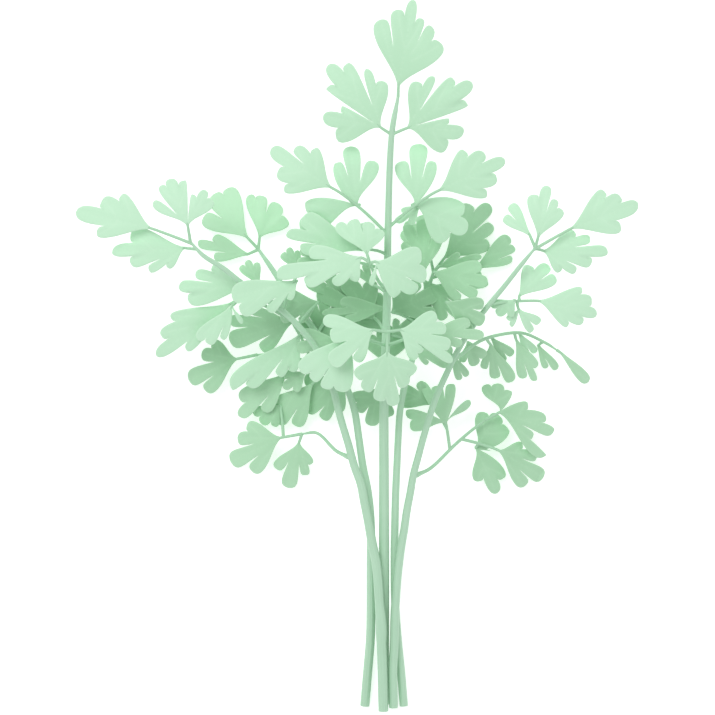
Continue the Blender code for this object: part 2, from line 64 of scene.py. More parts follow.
class Slot(Enum):
    """The record's material slots."""

    STEM = "stem"
    RACHIS = "rachis"
    # leaf_back is a darker copy of leaf_front: painted shade for leaflets low in the bunch.
    LEAF_FRONT = "leaf_front"
    LEAF_BACK = "leaf_back"


def unit(vector: np.ndarray) -> np.ndarray:
    """Return a vector's direction."""
    return vector / max(float(np.linalg.norm(vector)), 1e-12)


def left_of(direction: np.ndarray) -> np.ndarray:
    """Return the plan direction a quarter turn to the left."""
    return np.array([-direction[1], direction[0]])


def smooth(value: np.ndarray) -> np.ndarray:
    """Return a soft step from 0 to 1 of values clipped to that range."""
    clipped = np.clip(value, 0.0, 1.0)
    return clipped * clipped * (3 - 2 * clipped)


def bezier(points: list, count: int) -> np.ndarray:
    """Return points along a cubic curve, without its last point.

    Args:
        points: the curve's four control points.
        count: how many points are returned.

    Returns:
        The points, one a row.
    """
    share = np.linspace(0, 1, count, endpoint=False)[:, None]
    back = 1 - share
    first, second, third, fourth = points
    return (back ** 3 * first + 3 * back ** 2 * share * second
            + 3 * back * share ** 2 * third + share ** 3 * fourth)


def merged_copy(node: bpy.types.Object) -> bmesh.types.BMesh:
    """Copy a node's mesh and join its loose triangles.

    Args:
        node: the frame's node.

    Returns:
        The joined copy.
    """
    copy = bmesh.new()
    copy.from_mesh(node.data)
    bmesh.ops.remove_doubles(copy, verts=copy.verts, dist=1e-6)
    copy.verts.ensure_lookup_table()
    return copy


def run_lengths(points: np.ndarray) -> np.ndarray:
    """Return how far along a line each of its points lies."""
    steps = np.linalg.norm(np.diff(points, axis=0), axis=1)
    return np.concatenate([[0.0], np.cumsum(steps)])


@dataclass
class RodRoute:
    """A centreline with its radii, from where it is borne or cut to its far end.

    Attributes:
        points: the centreline, one point a row.
        radii: the radius at each point.
    """

    points: np.ndarray
    radii: np.ndarray

    @classmethod
    def from_node(cls, node: bpy.types.Object) -> "RodRoute":
        """Read a tube's rings back from its solid.

        Args:
            node: the tube's node.

        Returns:
            The route, lowest along Y first.
        """
        copy = merged_copy(node)
        caps = sorted(cls._flat_groups(copy), key=cls._spread)[:2]
        ring = min(caps, key=lambda group: sum(vert.co.y for vert in group) / len(group))
        seen = set(ring)
        centres, radii = [], []
        while ring:
            places = np.array([vert.co for vert in ring])
            centre = places.mean(axis=0)
            centres.append(centre)
            radii.append(float(np.linalg.norm(places - centre, axis=1).mean()))
            following = {edge.other_vert(vert) for vert in ring for edge in vert.link_edges}
            ring = following - seen
            seen |= ring
        copy.free()
        return cls(np.array(centres), np.array(radii))

    @staticmethod
    def _flat_groups(mesh: bmesh.types.BMesh) -> list:
        """Find a mesh's flat patches of five or more triangles.

        Args:
            mesh: the mesh.

        Returns:
            Each patch's set of corners.
        """
        groups, seen = [], set()
        for face in mesh.faces:
            if face in seen:
                continue
            patch, front = {face}, [face]
            while front:
                for edge in front.pop().edges:
                    for other in edge.link_faces:
                        if other not in patch and other.normal.dot(face.normal) > 1 - 1e-6:
                            patch.add(other)
                            front.append(other)
            seen |= patch
            if len(patch) >= 5:
                groups.append({vert for part in patch for vert in part.verts})
        return groups

    @staticmethod
    def _spread(group: set) -> float:
        """Return how far a patch's corners reach from their middle."""
        places = np.array([vert.co for vert in group])
        return float(np.linalg.norm(places - places.mean(axis=0), axis=1).max())

    def nearest(self, place: np.ndarray) -> tuple:
        """Find the route's nearest point to a place.

        Args:
            place: the place.

        Returns:
            The nearest point of the centreline, and the radius there.
        """
        best, found, radius = 1e9, self.points[0], self.radii[0]
        for index in range(len(self.points) - 1):
            start, step = self.points[index], self.points[index + 1] - self.points[index]
            share = float(np.clip(np.dot(place - start, step) / np.dot(step, step), 0, 1))
            spot = start + step * share
            away = float(np.linalg.norm(place - spot))
            if away < best:
                best, found = away, spot
                radius = self.radii[index] * (1 - share) + self.radii[index + 1] * share
        return found, radius

    def rounded(self, taper: float) -> "RodRoute":
        """Give the route a round end.

        Args:
            taper: over how long a stretch it thins towards that end.

        Returns:
            The same route with the thinner stretch and a dome's rings after it.
        """
        back = np.linalg.norm(self.points - self.points[-1], axis=1)
        radii = self.radii * (0.62 + 0.38 * smooth(back / taper))
        course = unit(self.points[-1] - self.points[-2])
        turn = np.array([0.35, 0.7, 1.0, 1.3, 1.5])
        points = self.points[-1] + np.sin(turn)[:, None] * course * radii[-1]
        return RodRoute(np.vstack([self.points, points]),
                        np.concatenate([radii, radii[-1] * np.cos(turn)]))

    def resampled(self, spacing: float) -> "RodRoute":
        """Draw the route as a smooth curve.

        Args:
            spacing: about how far apart the new points lie.

        Returns:
            The curve through the same points.
        """
        padded = np.vstack([2 * self.points[0] - self.points[1], self.points,
                            2 * self.points[-1] - self.points[-2]])
        places, radii = [], []
        for index in range(1, len(padded) - 2):
            before, first, second, after = padded[index - 1:index + 3]
            length = float(np.linalg.norm(second - first))
            count = max(1, round(length / spacing))
            for step in range(count):
                share = step / count
                places.append(first + 0.5 * share * (
                    second - before + share * (2 * before - 5 * first + 4 * second - after
                                               + share * (3 * (first - second) + after - before))))
                radii.append(self.radii[index - 1] * (1 - share) + self.radii[index] * share)
        places.append(self.points[-1])
        radii.append(self.radii[-1])
        return RodRoute(np.array(places), np.array(radii))


@dataclass
class BladePlan:
    """Where a leaflet is borne, how its lobes spread and how its blade bends.

    Attributes:
        name: the leaflet's name.
        base: where the blade begins, in the frame.
        tips: the lobe tips in plan from the base, from right to left.
        notches: the notch between each two lobes, in plan from the base.
        edges: the angles from the two outermost lobes' axes to their free edges.
        bend: the blade's heights as a quadratic of (along, across) in shares of its length.
        root: where the stalk leaves its bearer.
        slot: the finish that it takes.
        light: how pale it is painted, from 0 to 1: painted light and shade for where it lies in the
            bunch.
        inner_share: where the solid's inner row of points lies, as a share of its rim's reach.
        widest_edge: the largest angle that is read for a free edge.
    """

    inner_share: ClassVar[float] = 0.55
    widest_edge: ClassVar[float] = math.radians(14)

    name: str
    base: np.ndarray
    tips: list
    notches: list
    edges: tuple
    bend: np.ndarray
    root: np.ndarray
    slot: Slot
    light: float = 0.6

    @property
    def length(self) -> float:
        """Return the reach of the longest lobe."""
        return max(float(np.linalg.norm(tip)) for tip in self.tips)

    @property
    def heading(self) -> np.ndarray:
        """Return the plan direction of the blade's axis."""
        return unit(sum(self.tips))

    @staticmethod
    def terms(local: np.ndarray) -> np.ndarray:
        """Return the quadratic's terms for places (along, across)."""
        along, across = local[:, 0], local[:, 1]
        return np.stack([np.ones(len(local)), along, along ** 2, across, across ** 2,
                         along * across], axis=1)

    def local(self, places: np.ndarray) -> np.ndarray:
        """Return plan places from the base as (along, across), in shares of the length."""
        axis = self.heading
        return np.stack([places @ axis, places @ left_of(axis)], axis=1) / self.length

    def heights(self, places: np.ndarray) -> np.ndarray:
        """Return the blade's plain heights over the frame at plan places from the base."""
        return self.base[2] + self.terms(self.local(places)) @ self.bend

    @classmethod
    def from_node(cls, node: bpy.types.Object, low_leaf: float) -> "BladePlan":
        """Read a leaflet's plan and bend back from its solid.

        Args:
            node: the leaflet's node.
            low_leaf: a base lower than this takes the back finish, darker with painted shade.

        Returns:
            The leaflet's plan.
        """
        copy = merged_copy(node)
        hubs = sorted(copy.verts, key=lambda vert: -len(vert.link_edges))[:2]
        base = np.array((hubs[0].co + hubs[1].co) / 2)
        places = np.array([vert.co for vert in copy.verts if vert not in hubs]) - base
        copy.free()
        levels: dict = {}
        for place in places:
            levels.setdefault((round(place[0] * 1e6), round(place[1] * 1e6)), []).append(place)
        spots = np.array([np.mean(group, axis=0) for group in levels.values()])
        spots, root = cls._part_stalk(spots)
        rim = np.array([spot for spot in spots if any(
            np.linalg.norm(spot[:2] * cls.inner_share - other[:2]) < 4e-6 for other in spots)])
        centre = unit(rim[:, :2].sum(axis=0))
        turns = np.arctan2(rim[:, :2] @ left_of(centre), rim[:, :2] @ centre)
        rim = rim[np.argsort(turns)]
        reach = np.linalg.norm(rim[:, :2], axis=1)
        peaks = [index for index in range(1, len(rim) - 1)
                 if reach[index] > reach[index - 1] and reach[index] >= reach[index + 1]]
        tips = [rim[index, :2] for index in peaks]
        notches = [rim[start + 1 + int(np.argmin(reach[start + 1:end])), :2]
                   for start, end in zip(peaks, peaks[1:])]
        # Low leaflets take the back finish, darker with painted shade.
        slot = Slot.LEAF_BACK if base[2] < low_leaf else Slot.LEAF_FRONT
        turns = np.sort(turns)
        edges = (min(turns[peaks[0]] - turns[0], cls.widest_edge),
                 min(turns[-1] - turns[peaks[-1]], cls.widest_edge))
        plan = cls(node.name, base, tips, notches, edges, np.zeros(6),
                   base.copy() if root is None else base + root, slot)
        blade = np.vstack([rim, np.zeros(3)])
        plan.bend = np.linalg.lstsq(cls.terms(plan.local(blade[:, :2])), blade[:, 2],
                                    rcond=None)[0]
        # Painted light and shade: how pale the leaflet is painted for its place in the bunch.
        plan.light = cls._painted_light_level(node.name, base)
        return plan

    @staticmethod
    def _painted_light_level(name: str, base: np.ndarray) -> float:
        """Say how pale a leaflet is painted: painted light high up and far out, shade low, palest
        at the left back.

        Args:
            name: the leaflet's name.
            base: where its blade begins.

        Returns:
            Its painted light level, about 0 to 1.
        """
        # Painted light: the low leaflets at the left back are painted pale as if lit.
        if name.startswith("left_back"):
            return 1.2
        # Painted shade low in the bunch, painted light high up and far out.
        high, outer = smooth(np.array([base[2] / (36 * MM), abs(base[0]) / (25 * MM) - 1.4]))
        return float(0.5 + 0.45 * high + 0.4 * high * outer)

    @staticmethod
    def _part_stalk(spots: np.ndarray) -> tuple:
        """Part the flat stalk's four corners from a leaflet's other points.

        Args:
            spots: the leaflet's points from its base.

        Returns:
            The other points, and the middle of the stalk's far end or None.
        """
        plan = spots[:, :2]
        near = [index for index, place in enumerate(plan)
                if np.linalg.norm(place) < 0.8 * MM
                and np.linalg.norm(plan + place, axis=1).min() < 0.02 * MM]
        if len(near) != 2:
            return spots, None
        across = plan[near[0]] - plan[near[1]]
        best, pair = 1.0 * MM, None
        for index, place in enumerate(plan):
            away = np.linalg.norm(plan - (place - across), axis=1)
            other = int(np.argmin(away))
            middle = (place + plan[other]) / 2
            if (away[other] < 0.02 * MM and np.linalg.norm(middle) > best
                    and abs(float(middle @ unit(across))) < 0.03 * MM):
                best, pair = float(np.linalg.norm(middle)), (index, other)
        if pair is None:
            return spots, None
        root = (spots[pair[0]] + spots[pair[1]]) / 2
        return np.delete(spots, [*near, *pair], axis=0), root


@dataclass(frozen=True)
class InnerLeaflet:
    """A leaflet deep in the bunch, for which the frame has no node.

    Attributes:
        name: its name.
        base: where its blade begins, in millimetres in the frame.
        tips: its lobe tips from its base in plan, in millimetres, from right to left.
        depths: how far the notches between them stand from the base, as shares of the reach.
        fall: how far its tips lie below its base, in millimetres.
        light: how pale it is painted, from 0 to 1: painted shade deep in the bunch, painted light
            high up.
    """

    name: str
    base: tuple
    tips: tuple
    depths: tuple
    fall: float = 2.5
    light: float = 0.2

    def plan(self) -> BladePlan:
        """Lay out the leaflet.

        Returns:
            Its plan, its stalk still to be led to what bears it.
        """
        base = np.array(self.base) * MM
        tips = [np.array(tip) * MM for tip in self.tips]
        notches = []
        for first, second, depth in zip(tips, tips[1:], self.depths):
            reach = min(float(np.linalg.norm(first)), float(np.linalg.norm(second)))
            notches.append(unit(unit(first) + unit(second)) * depth * reach)
        bend = np.array([0, -0.2, -0.8 * self.fall, 0, -1.6, 0]) * MM
        # The paler painted ones take the front finish, the others the back finish, darker with
        # painted shade.
        slot = Slot.LEAF_FRONT if self.light > 0.5 else Slot.LEAF_BACK
        return BladePlan(self.name, base, tips, notches, (math.radians(11),) * 2, bend,
                         base.copy(), slot, self.light)


# The light values paint shade on leaflets deep in the bunch and light on those near the top.
INNER_LEAFLETS = (
    InnerLeaflet("inner_upper_left", (1.5, 31.9, 32), ((1.5, 8.1), (-4.8, 7.5), (-18, 9.6),
                 (-22.8, 4.5), (-18.6, 1.2)), (0.85, 0.7, 0.85, 0.8), light=0.8),
    InnerLeaflet("inner_left_of_the_front", (-3.6, 28.3, 27), ((-9, 5.1), (-13.5, 3.6), (-14.4, 0)),
                 (0.8, 0.85), light=0.4),
    InnerLeaflet("inner_left_dark", (-17.1, 25.9, 22), ((-0.9, 6), (-3.3, 6.9), (-5.7, 4.8)),
                 (0.88, 0.88)),
    InnerLeaflet("inner_left_hanging", (-29.4, 21.7, 21), ((-0.6, 6.6), (-3.6, 7.2), (-5.7, 5.4)),
                 (0.88, 0.85), light=0.5),
    InnerLeaflet("inner_left_outer_core", (-19.5, 10.3, 15), ((-12.6, 3.3), (-18.9, 1.2),
                 (-18.9, -5.4), (-9, -8.7)), (0.8, 0.8, 0.7), light=0.3),
    InnerLeaflet("inner_left_upper_core", (-11.7, 16.3, 20), ((-10.5, 3), (-12.6, -1.2),
                 (-11.1, -5.4), (-5.4, -6)), (0.85, 0.85, 0.75), light=0.3),
    InnerLeaflet("inner_left_strip", (-5.7, 4.9, 21), ((-10.8, 2.4), (-12.3, -2.4), (-9.6, -6.6)),
                 (0.8, 0.8), light=0.3),
    InnerLeaflet("inner_core_left", (5.1, 11.5, 11), ((-0.6, 11.4), (-8.7, 11.4), (-16.8, 7.8),
                 (-15.6, 1.2)), (0.85, 0.75, 0.8), light=0.2),
    InnerLeaflet("inner_core_middle", (8.7, 14.5, 21), ((-13.8, 1.8), (-19.2, -1.5), (-12.3, -3)),
                 (0.85, 0.8), light=0.35),
    InnerLeaflet("inner_core_right", (10.5, 13.3, 12), ((13.2, -0.9), (13.5, 6), (7.8, 9.6),
                 (1.8, 8.7)), (0.8, 0.8, 0.85), light=0.25),
    InnerLeaflet("inner_upper_right", (20.1, 25.3, 20), ((4.5, 10.8), (0, 16.2), (-5.7, 14.4),
                 (-6.3, 9)), (0.7, 0.8, 0.8), light=0.3),
    InnerLeaflet("inner_right_core", (23.1, 25.3, 17), ((7.8, -8.1), (12.9, -7.2), (16.2, -3),
                 (14.4, 1.8)), (0.8, 0.8, 0.85), light=0.4),
    InnerLeaflet("inner_right_lower_core", (20.1, 22.9, 10), ((1.8, -10.8), (6, -12), (11.4, -10.8),
                 (10.2, -6)), (0.75, 0.85, 0.8), light=0.25),
    InnerLeaflet("inner_right_under", (26.7, 16.3, 31), ((7.2, -9), (11.4, -6), (11.4, -0.3)),
                 (0.8, 0.8), light=0.3),
    InnerLeaflet("inner_right_beside_the_front", (21.3, 7.3, 33), ((10.2, -3.6), (16.8, -0.9),
                 (12.6, 3)), (0.8, 0.85), light=0.45),
    InnerLeaflet("inner_right_strip", (17.1, 1.9, 19), ((4.2, -4.2), (10.2, -4.8), (11.7, 0)),
                 (0.8, 0.8)),
    InnerLeaflet("inner_low_core_left", (-3.3, -8.3, 7), ((-12.6, 1.8), (-14.4, -4.2), (-12, -8.1),
                 (-6.9, -10.8), (-1.8, -8.4)), (0.85, 0.85, 0.8, 0.7), light=0.1),
    InnerLeaflet("inner_low_core_middle", (6.3, -9.5, 12), ((-8.4, -3), (-6.3, -6.9), (-2.1, -11.4),
                 (4.2, -8.4)), (0.85, 0.75, 0.8), light=0.1),
    InnerLeaflet("inner_low_core_right", (22.5, -14.3, 8), ((-3.6, 6.9), (-9.3, 4.8), (-9.9, 0.3)),
                 (0.8, 0.85)),
    InnerLeaflet("inner_core_top", (-2.7, 16.9, 9), ((-0.9, 9.6), (-6.9, 8.4), (-12.6, 6)),
                 (0.8, 0.8), light=0.15),
    InnerLeaflet("inner_core_back_left", (-8.1, 3.4, 10), ((2.4, 13.5), (-2.4, 17.1),
                 (-6.6, 13.5), (-9, 8.1)), (0.8, 0.8, 0.8), light=0.0),
    InnerLeaflet("inner_core_back_middle", (8.4, 7.9, 9), ((-2.4, 11.4), (-6, 10.2),
                 (-10.5, 6.6), (-9.9, 2.4)), (0.85, 0.8, 0.85), light=0.05),
    InnerLeaflet("inner_core_back_right", (10.5, 6.4, 11), ((12, -3), (15.9, 2.1),
                 (8.4, 5.1), (1.2, 5.1)), (0.8, 0.8, 0.8), light=0.05),
    InnerLeaflet("inner_core_low", (8.7, -2.6, 8), ((6.3, 8.4), (0, 12.3), (-6.3, 8.4)),
                 (0.85, 0.85), light=0.0),
    InnerLeaflet("inner_beside_the_stem", (4.5, 21.4, 20), ((-2.1, 6.6), (-4.5, 4.5)), (0.8,)),
    InnerLeaflet("inner_shoulder", (18.6, 45.1, 28), ((-5.4, -1.5), (-7.2, -4.5),
                 (-2.4, -5.7)), (0.85, 0.8), light=0.8),
    InnerLeaflet("inner_left_gap", (-15.6, -4.7, 12), ((-6.6, -0.9), (-6.6, -4.8),
                 (-2.7, -6)), (0.85, 0.85)),
    InnerLeaflet("inner_left_lowest", (-23.1, -14.6, 6), ((-8.4, -2.1), (-5.7, -5.7),
                 (-1.5, -6.6)), (0.85, 0.85), light=0.4),
    InnerLeaflet("inner_right_back", (24.9, 27.1, 12), ((12, 0.6), (12.6, 3), (6, 3.9)),
                 (0.85, 0.85)),
    InnerLeaflet("inner_right_fork", (33.3, 4.3, 14), ((-2.1, -6), (2.1, -7.2), (5.7, -3.9)),
                 (0.8, 0.85), light=0.4),
    InnerLeaflet("inner_right_first_twin", (40.5, 5.5, 11), ((3.6, -7.2), (6.6, -4.8)),
                 (0.8,), light=0.4),
    InnerLeaflet("inner_right_second_twin", (48.9, 6.7, 10), ((2.1, -6.3), (5.1, -5.4)),
                 (0.8,), light=0.7),
    InnerLeaflet("inner_right_pair", (47.4, 16.9, 26), ((-7.5, -1.2), (-5.4, -4.5),
                 (-1.2, -5.1)), (0.85, 0.85), light=0.6),
    InnerLeaflet("inner_right_small", (28.5, 0.4, 16), ((2.4, -7.5), (4.8, -6.3)), (0.8,)),
    InnerLeaflet("inner_right_outer_twin", (54.5, 3.3, 8), ((2.4, -6.9), (5.7, -7.2)), (0.7,)),
)


@dataclass
class BladeGrower:
    """Grows a leaflet's blade: a thin cupped sheet with round lobes, folds and veins.

    Attributes:
        thickness: the blade's thickness away from its edge.
        edge_width: over how much of the blade its edge rounds off.
        spacing: distance between the mesh's inner points.
        widest: where an outer lobe is widest, as a share of its reach.
        cleft: how deep a cleft between two parts runs, as a share of its notch's distance.
        shallow: a notch farther out than this share of its lobes' reach isn't a cleft.
        branch: where the vein of a lesser lobe leaves its neighbour's, as a share.
        lobe_angle: the widest half angle that a lobe takes beside a notch.
        fullness: how full a lobe is beside notches of rising depths: the depths, the shares.
        pleat: how far a lobe's sides stand above its vein.
        twist: how far neighbouring lobes lie above each other.
        curl: how strongly the lobe tips turn down.
        ripple: how far the edge waves.
        groove: how deep the veins lie.
        stalk_half: half the width of the blade where its stalk meets it.
        lowest: the lowest level of a blade's middle over the frame's floor.
    """

    thickness: float = 0.36 * MM
    edge_width: float = 0.24 * MM
    spacing: float = 0.72 * MM
    widest: float = 0.78
    cleft: float = 0.90
    shallow: float = 0.84
    branch: float = 0.42
    lobe_angle: float = math.radians(17)
    fullness: tuple = ((0.3, 0.6, 0.85, 0.95), (0.5, 1.35, 0.75, 0.60))
    pleat: float = 0.60 * MM
    twist: float = 0.60 * MM
    curl: float = 5.0 * MM
    ripple: float = 0.14 * MM
    groove: float = 0.07 * MM
    stalk_half: float = 0.42 * MM
    lowest: float = 0.3 * MM

    def outline(self, plan: BladePlan) -> np.ndarray:
        """Draw the blade's rounded outline.

        Args:
            plan: the leaflet's plan.

        Returns:
            Its points in plan, counterclockwise from the right of the base.
        """
        heading = plan.heading
        right = -left_of(heading) * self.stalk_half
        runs = []
        notches = [self._cleft(plan, index) for index in range(len(plan.notches))]
        for index, tip in enumerate(plan.tips):
            before = notches[index - 1] if index else None
            after = notches[index] if index < len(notches) else None
            for notch, side in ((before, -1.0), (after, 1.0)):
                if notch is None:
                    run = self._outer_edge(right * -side, tip, side, heading,
                                           plan.edges[0 if side < 0 else 1])
                else:
                    other = plan.tips[index + int(side)]
                    run = self._notch_edge(notch, tip, other, side)
                runs.append(run if side < 0 else self._reversed(run, tip))
        runs.append(np.array([-right]))
        return np.vstack(runs)

    def _cleft(self, plan: BladePlan, index: int) -> np.ndarray:
        """Find a notch's deepest point; one between two parts runs on as a narrow cleft.

        Args:
            plan: the leaflet's plan.
            index: the notch's number.

        Returns:
            The deepest point in plan.
        """
        notch = plan.notches[index]
        reach = min(float(np.linalg.norm(tip)) for tip in plan.tips[index:index + 2])
        return notch * self.cleft if np.linalg.norm(notch) < self.shallow * reach else notch

    @staticmethod
    def _reversed(run: np.ndarray, tip: np.ndarray) -> np.ndarray:
        """Return an edge from its tip down, without its low end."""
        return np.vstack([tip, run[:0:-1]])

    def _outer_edge(self, start: np.ndarray, tip: np.ndarray, side: float,
                    heading: np.ndarray, turn: float) -> np.ndarray:
        """Return an outermost lobe's free edge.

        Args:
            start: where the edge leaves the stalk.
            tip: the lobe's tip.
            side: 1 for its left edge, -1 for its right.
            heading: the blade's axis.
            turn: the angle from the lobe's axis to its free edge.

        Returns:
            Points from the start up to just before the tip.
        """
        reach = float(np.linalg.norm(tip))
        axis = unit(tip)
        across = left_of(axis) * side
        width = self.widest * math.sin(turn) * reach
        widest = axis * self.widest * reach + across * width
        run = float(np.linalg.norm(widest - start))
        outset = unit(0.55 * unit(widest - start) + 0.45 * heading)
        low = [start, start + outset * 0.30 * run, widest - axis * 0.34 * run, widest]
        high = [widest, widest + axis * 0.13 * reach,
                tip + across * width * 0.80 - axis * 0.012 * reach, tip]
        count = max(6, round(run / (0.55 * MM)))
        return np.vstack([bezier(low, count), bezier(high, 9)])

    def _notch_edge(self, notch: np.ndarray, tip: np.ndarray, other: np.ndarray,
                    side: float) -> np.ndarray:
        """Return a lobe's edge that rises from a notch.

        Args:
            notch: the notch's deepest point.
            tip: the lobe's tip.
            other: the neighbouring lobe's tip.
            side: 1 where the notch is on the lobe's left, -1 on its right.

        Returns:
            Points from the notch up to just before the tip.
        """
        reach = float(np.linalg.norm(tip))
        axis = unit(tip)
        across = left_of(axis) * side
        middle = unit(axis + unit(other))
        half = math.acos(float(np.clip(np.dot(axis, middle), -1, 1)))
        rise = max(float(np.dot(tip - notch, axis)), 0.10 * reach)
        room = reach * math.sin(min(half, self.lobe_angle))
        depth = float(np.linalg.norm(notch)) / min(reach, float(np.linalg.norm(other)))
        wide = min(0.92 * room, 0.20 * reach) * float(np.interp(depth, *self.fullness))
        slope = unit(axis + 1.1 * middle)
        control = [notch, notch + slope * 0.66 * rise,
                   tip + across * wide - axis * 0.04 * rise, tip]
        return bezier(control, max(7, round(rise / (0.45 * MM))))

    def veins(self, plan: BladePlan) -> list:
        """Draw each lobe's vein, from where it starts to near the lobe's tip.

        Args:
            plan: the leaflet's plan.

        Returns:
            Each vein's points in plan.
        """
        lines = []
        reaches = [float(np.linalg.norm(tip)) for tip in plan.tips]
        for index, tip in enumerate(plan.tips):
            start = np.zeros(2)
            for step in (-1, 1):
                other = index + step
                if not 0 <= other < len(plan.tips) or reaches[other] <= reaches[index]:
                    continue
                notch = plan.notches[min(index, other)]
                if np.linalg.norm(notch) > 0.75 * reaches[index]:
                    start = plan.tips[other] * self.branch
            share = np.linspace(0.0, 0.9, 15)[:, None]
            bow = left_of(unit(tip - start)) * np.sin(share * math.pi)
            sway = float(start @ -left_of(unit(tip))) * 0.12
            lines.append(start + (tip - start) * share + bow * sway)
        return lines

    def relief(self, plan: BladePlan, places: np.ndarray, veins: list,
               seed: int) -> np.ndarray:
        """Return the blade's pleats, twists, curls and vein grooves at plan places.

        Args:
            plan: the leaflet's plan.
            places: plan places from the base.
            veins: the veins' lines.
            seed: sets how this leaflet differs from the others.

        Returns:
            Heights to add to the plain bend, and closeness to a vein from 0 to 1.
        """
        chance = np.random.default_rng(seed)
        heading, length = plan.heading, plan.length
        reach = np.linalg.norm(places, axis=1)
        turn = np.arctan2(places @ left_of(heading), places @ heading)
        tips = np.array([math.atan2(tip @ left_of(heading), tip @ heading)
                         for tip in plan.tips])
        reaches = np.array([np.linalg.norm(tip) for tip in plan.tips])
        lifts = chance.uniform(-1, 1, len(tips)) * self.twist
        raised = np.full(len(places), lifts[0])
        for index, notch in enumerate(plan.notches):
            split = math.atan2(notch @ left_of(heading), notch @ heading)
            depth = float(np.linalg.norm(notch))
            soft = 0.05 + 0.9 * np.clip(1 - reach / depth, 0, 1)
            raised += (lifts[index + 1] - lifts[index]) * smooth((turn - split) / soft + 0.5)
        nearest = np.argmin(np.abs(turn[:, None] - tips[None, :]), axis=1)
        off = np.abs(turn - tips[nearest])
        share = np.clip(reach / length, 0, 1.2)
        sides = (np.clip(off / 0.3, 0, 1) ** 1.6 - 0.35) * self.pleat * np.sqrt(share) * share
        tip_share = np.clip(reach / reaches[nearest] - 0.62, 0, 1)
        turned = -self.curl * chance.uniform(0.4, 1.3) * tip_share ** 2 * length / (20 * MM)
        phase, count = chance.uniform(0, math.tau), chance.uniform(5, 8)
        waved = self.ripple * np.sin(turn * count + phase) * share ** 2
        vein = np.full(len(places), 1.0)
        for line in veins:
            gap = np.linalg.norm(places[:, None, :] - line[None, :, :], axis=2).min(axis=1)
            vein = np.minimum(vein, gap / MM)
        closeness = np.exp(-(vein / 0.3) ** 2)
        heights = raised * smooth(share * 1.3) * share + sides + turned + waved
        return heights - self.groove * closeness * np.clip(1.1 - share, 0, 1), closeness

    def grow(self, plan: BladePlan, seed: int) -> bmesh.types.BMesh:
        """Grow one blade.

        Args:
            plan: the leaflet's plan.
            seed: sets how this leaflet differs from the others.

        Returns:
            The closed blade, with its edge, vein, and tone with painted light and shade, in float
            layers.
        """
        outline = self.outline(plan)
        veins = self.veins(plan)
        inner = self._inner_points(outline, veins)
        points = [Vector(place) for place in np.vstack([outline, inner])]
        loop = list(range(len(outline)))
        flat, _, faces, origin, _, _ = delaunay_2d_cdt(points, [], [loop], 1, 1e-7)
        places = np.array(flat)
        on_edge = np.array([any(index < len(outline) for index in source)
                            for source in origin])
        gap = np.where(on_edge, 0.0, distance_to_loop(places, outline))
        relief, closeness = self.relief(plan, places, veins, seed)
        middle = np.maximum(plan.heights(places) + relief, self.lowest)
        inset = 1 - np.clip(gap / self.edge_width, 0, 1)
        half = self.thickness / 2 * np.sqrt(1 - 0.9 * inset ** 2)
        mesh = bmesh.new()
        layers = {name: mesh.verts.layers.float.new(name)
                  for name in ("edge", "vein", "painted_light_and_tone")}
        # Its tone is the painted light and shade of its place, with a random spread; darker towards
        # the base, paler towards the tips.
        painted_light_and_tone = plan.light + float(np.random.default_rng(seed + 5000).uniform(-0.2, 0.2))
        top, low = [], []
        for index, (x, y) in enumerate(places):
            spot = (plan.base[0] + x, plan.base[1] + y)
            top.append(mesh.verts.new((*spot, middle[index] + half[index])))
            low.append(mesh.verts.new((*spot, middle[index] - half[index])))
            for vert in (top[-1], low[-1]):
                vert[layers["edge"]] = float(min(gap[index] / MM, 4.0))
                vert[layers["vein"]] = float(closeness[index])
                vert[layers["painted_light_and_tone"]] = painted_light_and_tone + 0.35 * (math.hypot(x, y) / plan.length - 0.6)
        rim = set()
        for first, second, third in faces:
            mesh.faces.new((top[first], top[second], top[third]))
            mesh.faces.new((low[third], low[second], low[first]))
            for pair in ((first, second), (second, third), (third, first)):
                rim ^= {pair} if pair[::-1] not in rim else {pair[::-1]}
        for first, second in sorted(rim):
            mesh.faces.new((top[second], top[first], low[first], low[second]))
        for face in mesh.faces:
            face.smooth = True
        return mesh

    def _inner_points(self, outline: np.ndarray, veins: list) -> np.ndarray:
        """Lay out the points inside a blade's outline: an inset row, its veins and a grid.

        Args:
            outline: the outline.
            veins: the veins' lines.

        Returns:
            The points in plan.
        """
        step = np.roll(outline, -1, axis=0) - np.roll(outline, 1, axis=0)
        normals = np.stack([-step[:, 1], step[:, 0]], axis=1)
        normals /= np.maximum(np.linalg.norm(normals, axis=1), 1e-12)[:, None]
        inset = outline + normals * self.edge_width
        rows = [inset[self._kept(inset, outline, self.edge_width * 0.85)]]
        for line in veins:
            step = np.gradient(line, axis=0)
            beside = np.stack([-step[:, 1], step[:, 0]], axis=1)
            beside /= np.linalg.norm(beside, axis=1)[:, None]
            for offset in (-0.3 * MM, 0.0, 0.3 * MM):
                row = line[2:] + beside[2:] * offset
                rows.append(row[self._kept(row, outline, self.edge_width * 1.6)])
        lowest, highest = outline.min(axis=0), outline.max(axis=0)
        rise = self.spacing * math.sqrt(0.75)
        grid = []
        for number, y in enumerate(np.arange(lowest[1], highest[1], rise)):
            shift = self.spacing / 2 * (number % 2)
            grid += [(x, y) for x in np.arange(lowest[0] + shift, highest[0], self.spacing)]
        grid = np.array(grid)
        kept = grid[self._kept(grid, outline, self.edge_width * 1.8)]
        used = np.vstack(rows)
        apart = np.linalg.norm(kept[:, None, :] - used[None, :, :], axis=2).min(axis=1)
        return np.vstack([used, kept[apart > 0.25 * MM]])

    @staticmethod
    def _kept(places: np.ndarray, outline: np.ndarray, margin: float) -> np.ndarray:
        """Return which places lie inside an outline and at least a margin from it."""
        return inside_loop(places, outline) & (distance_to_loop(places, outline) > margin)


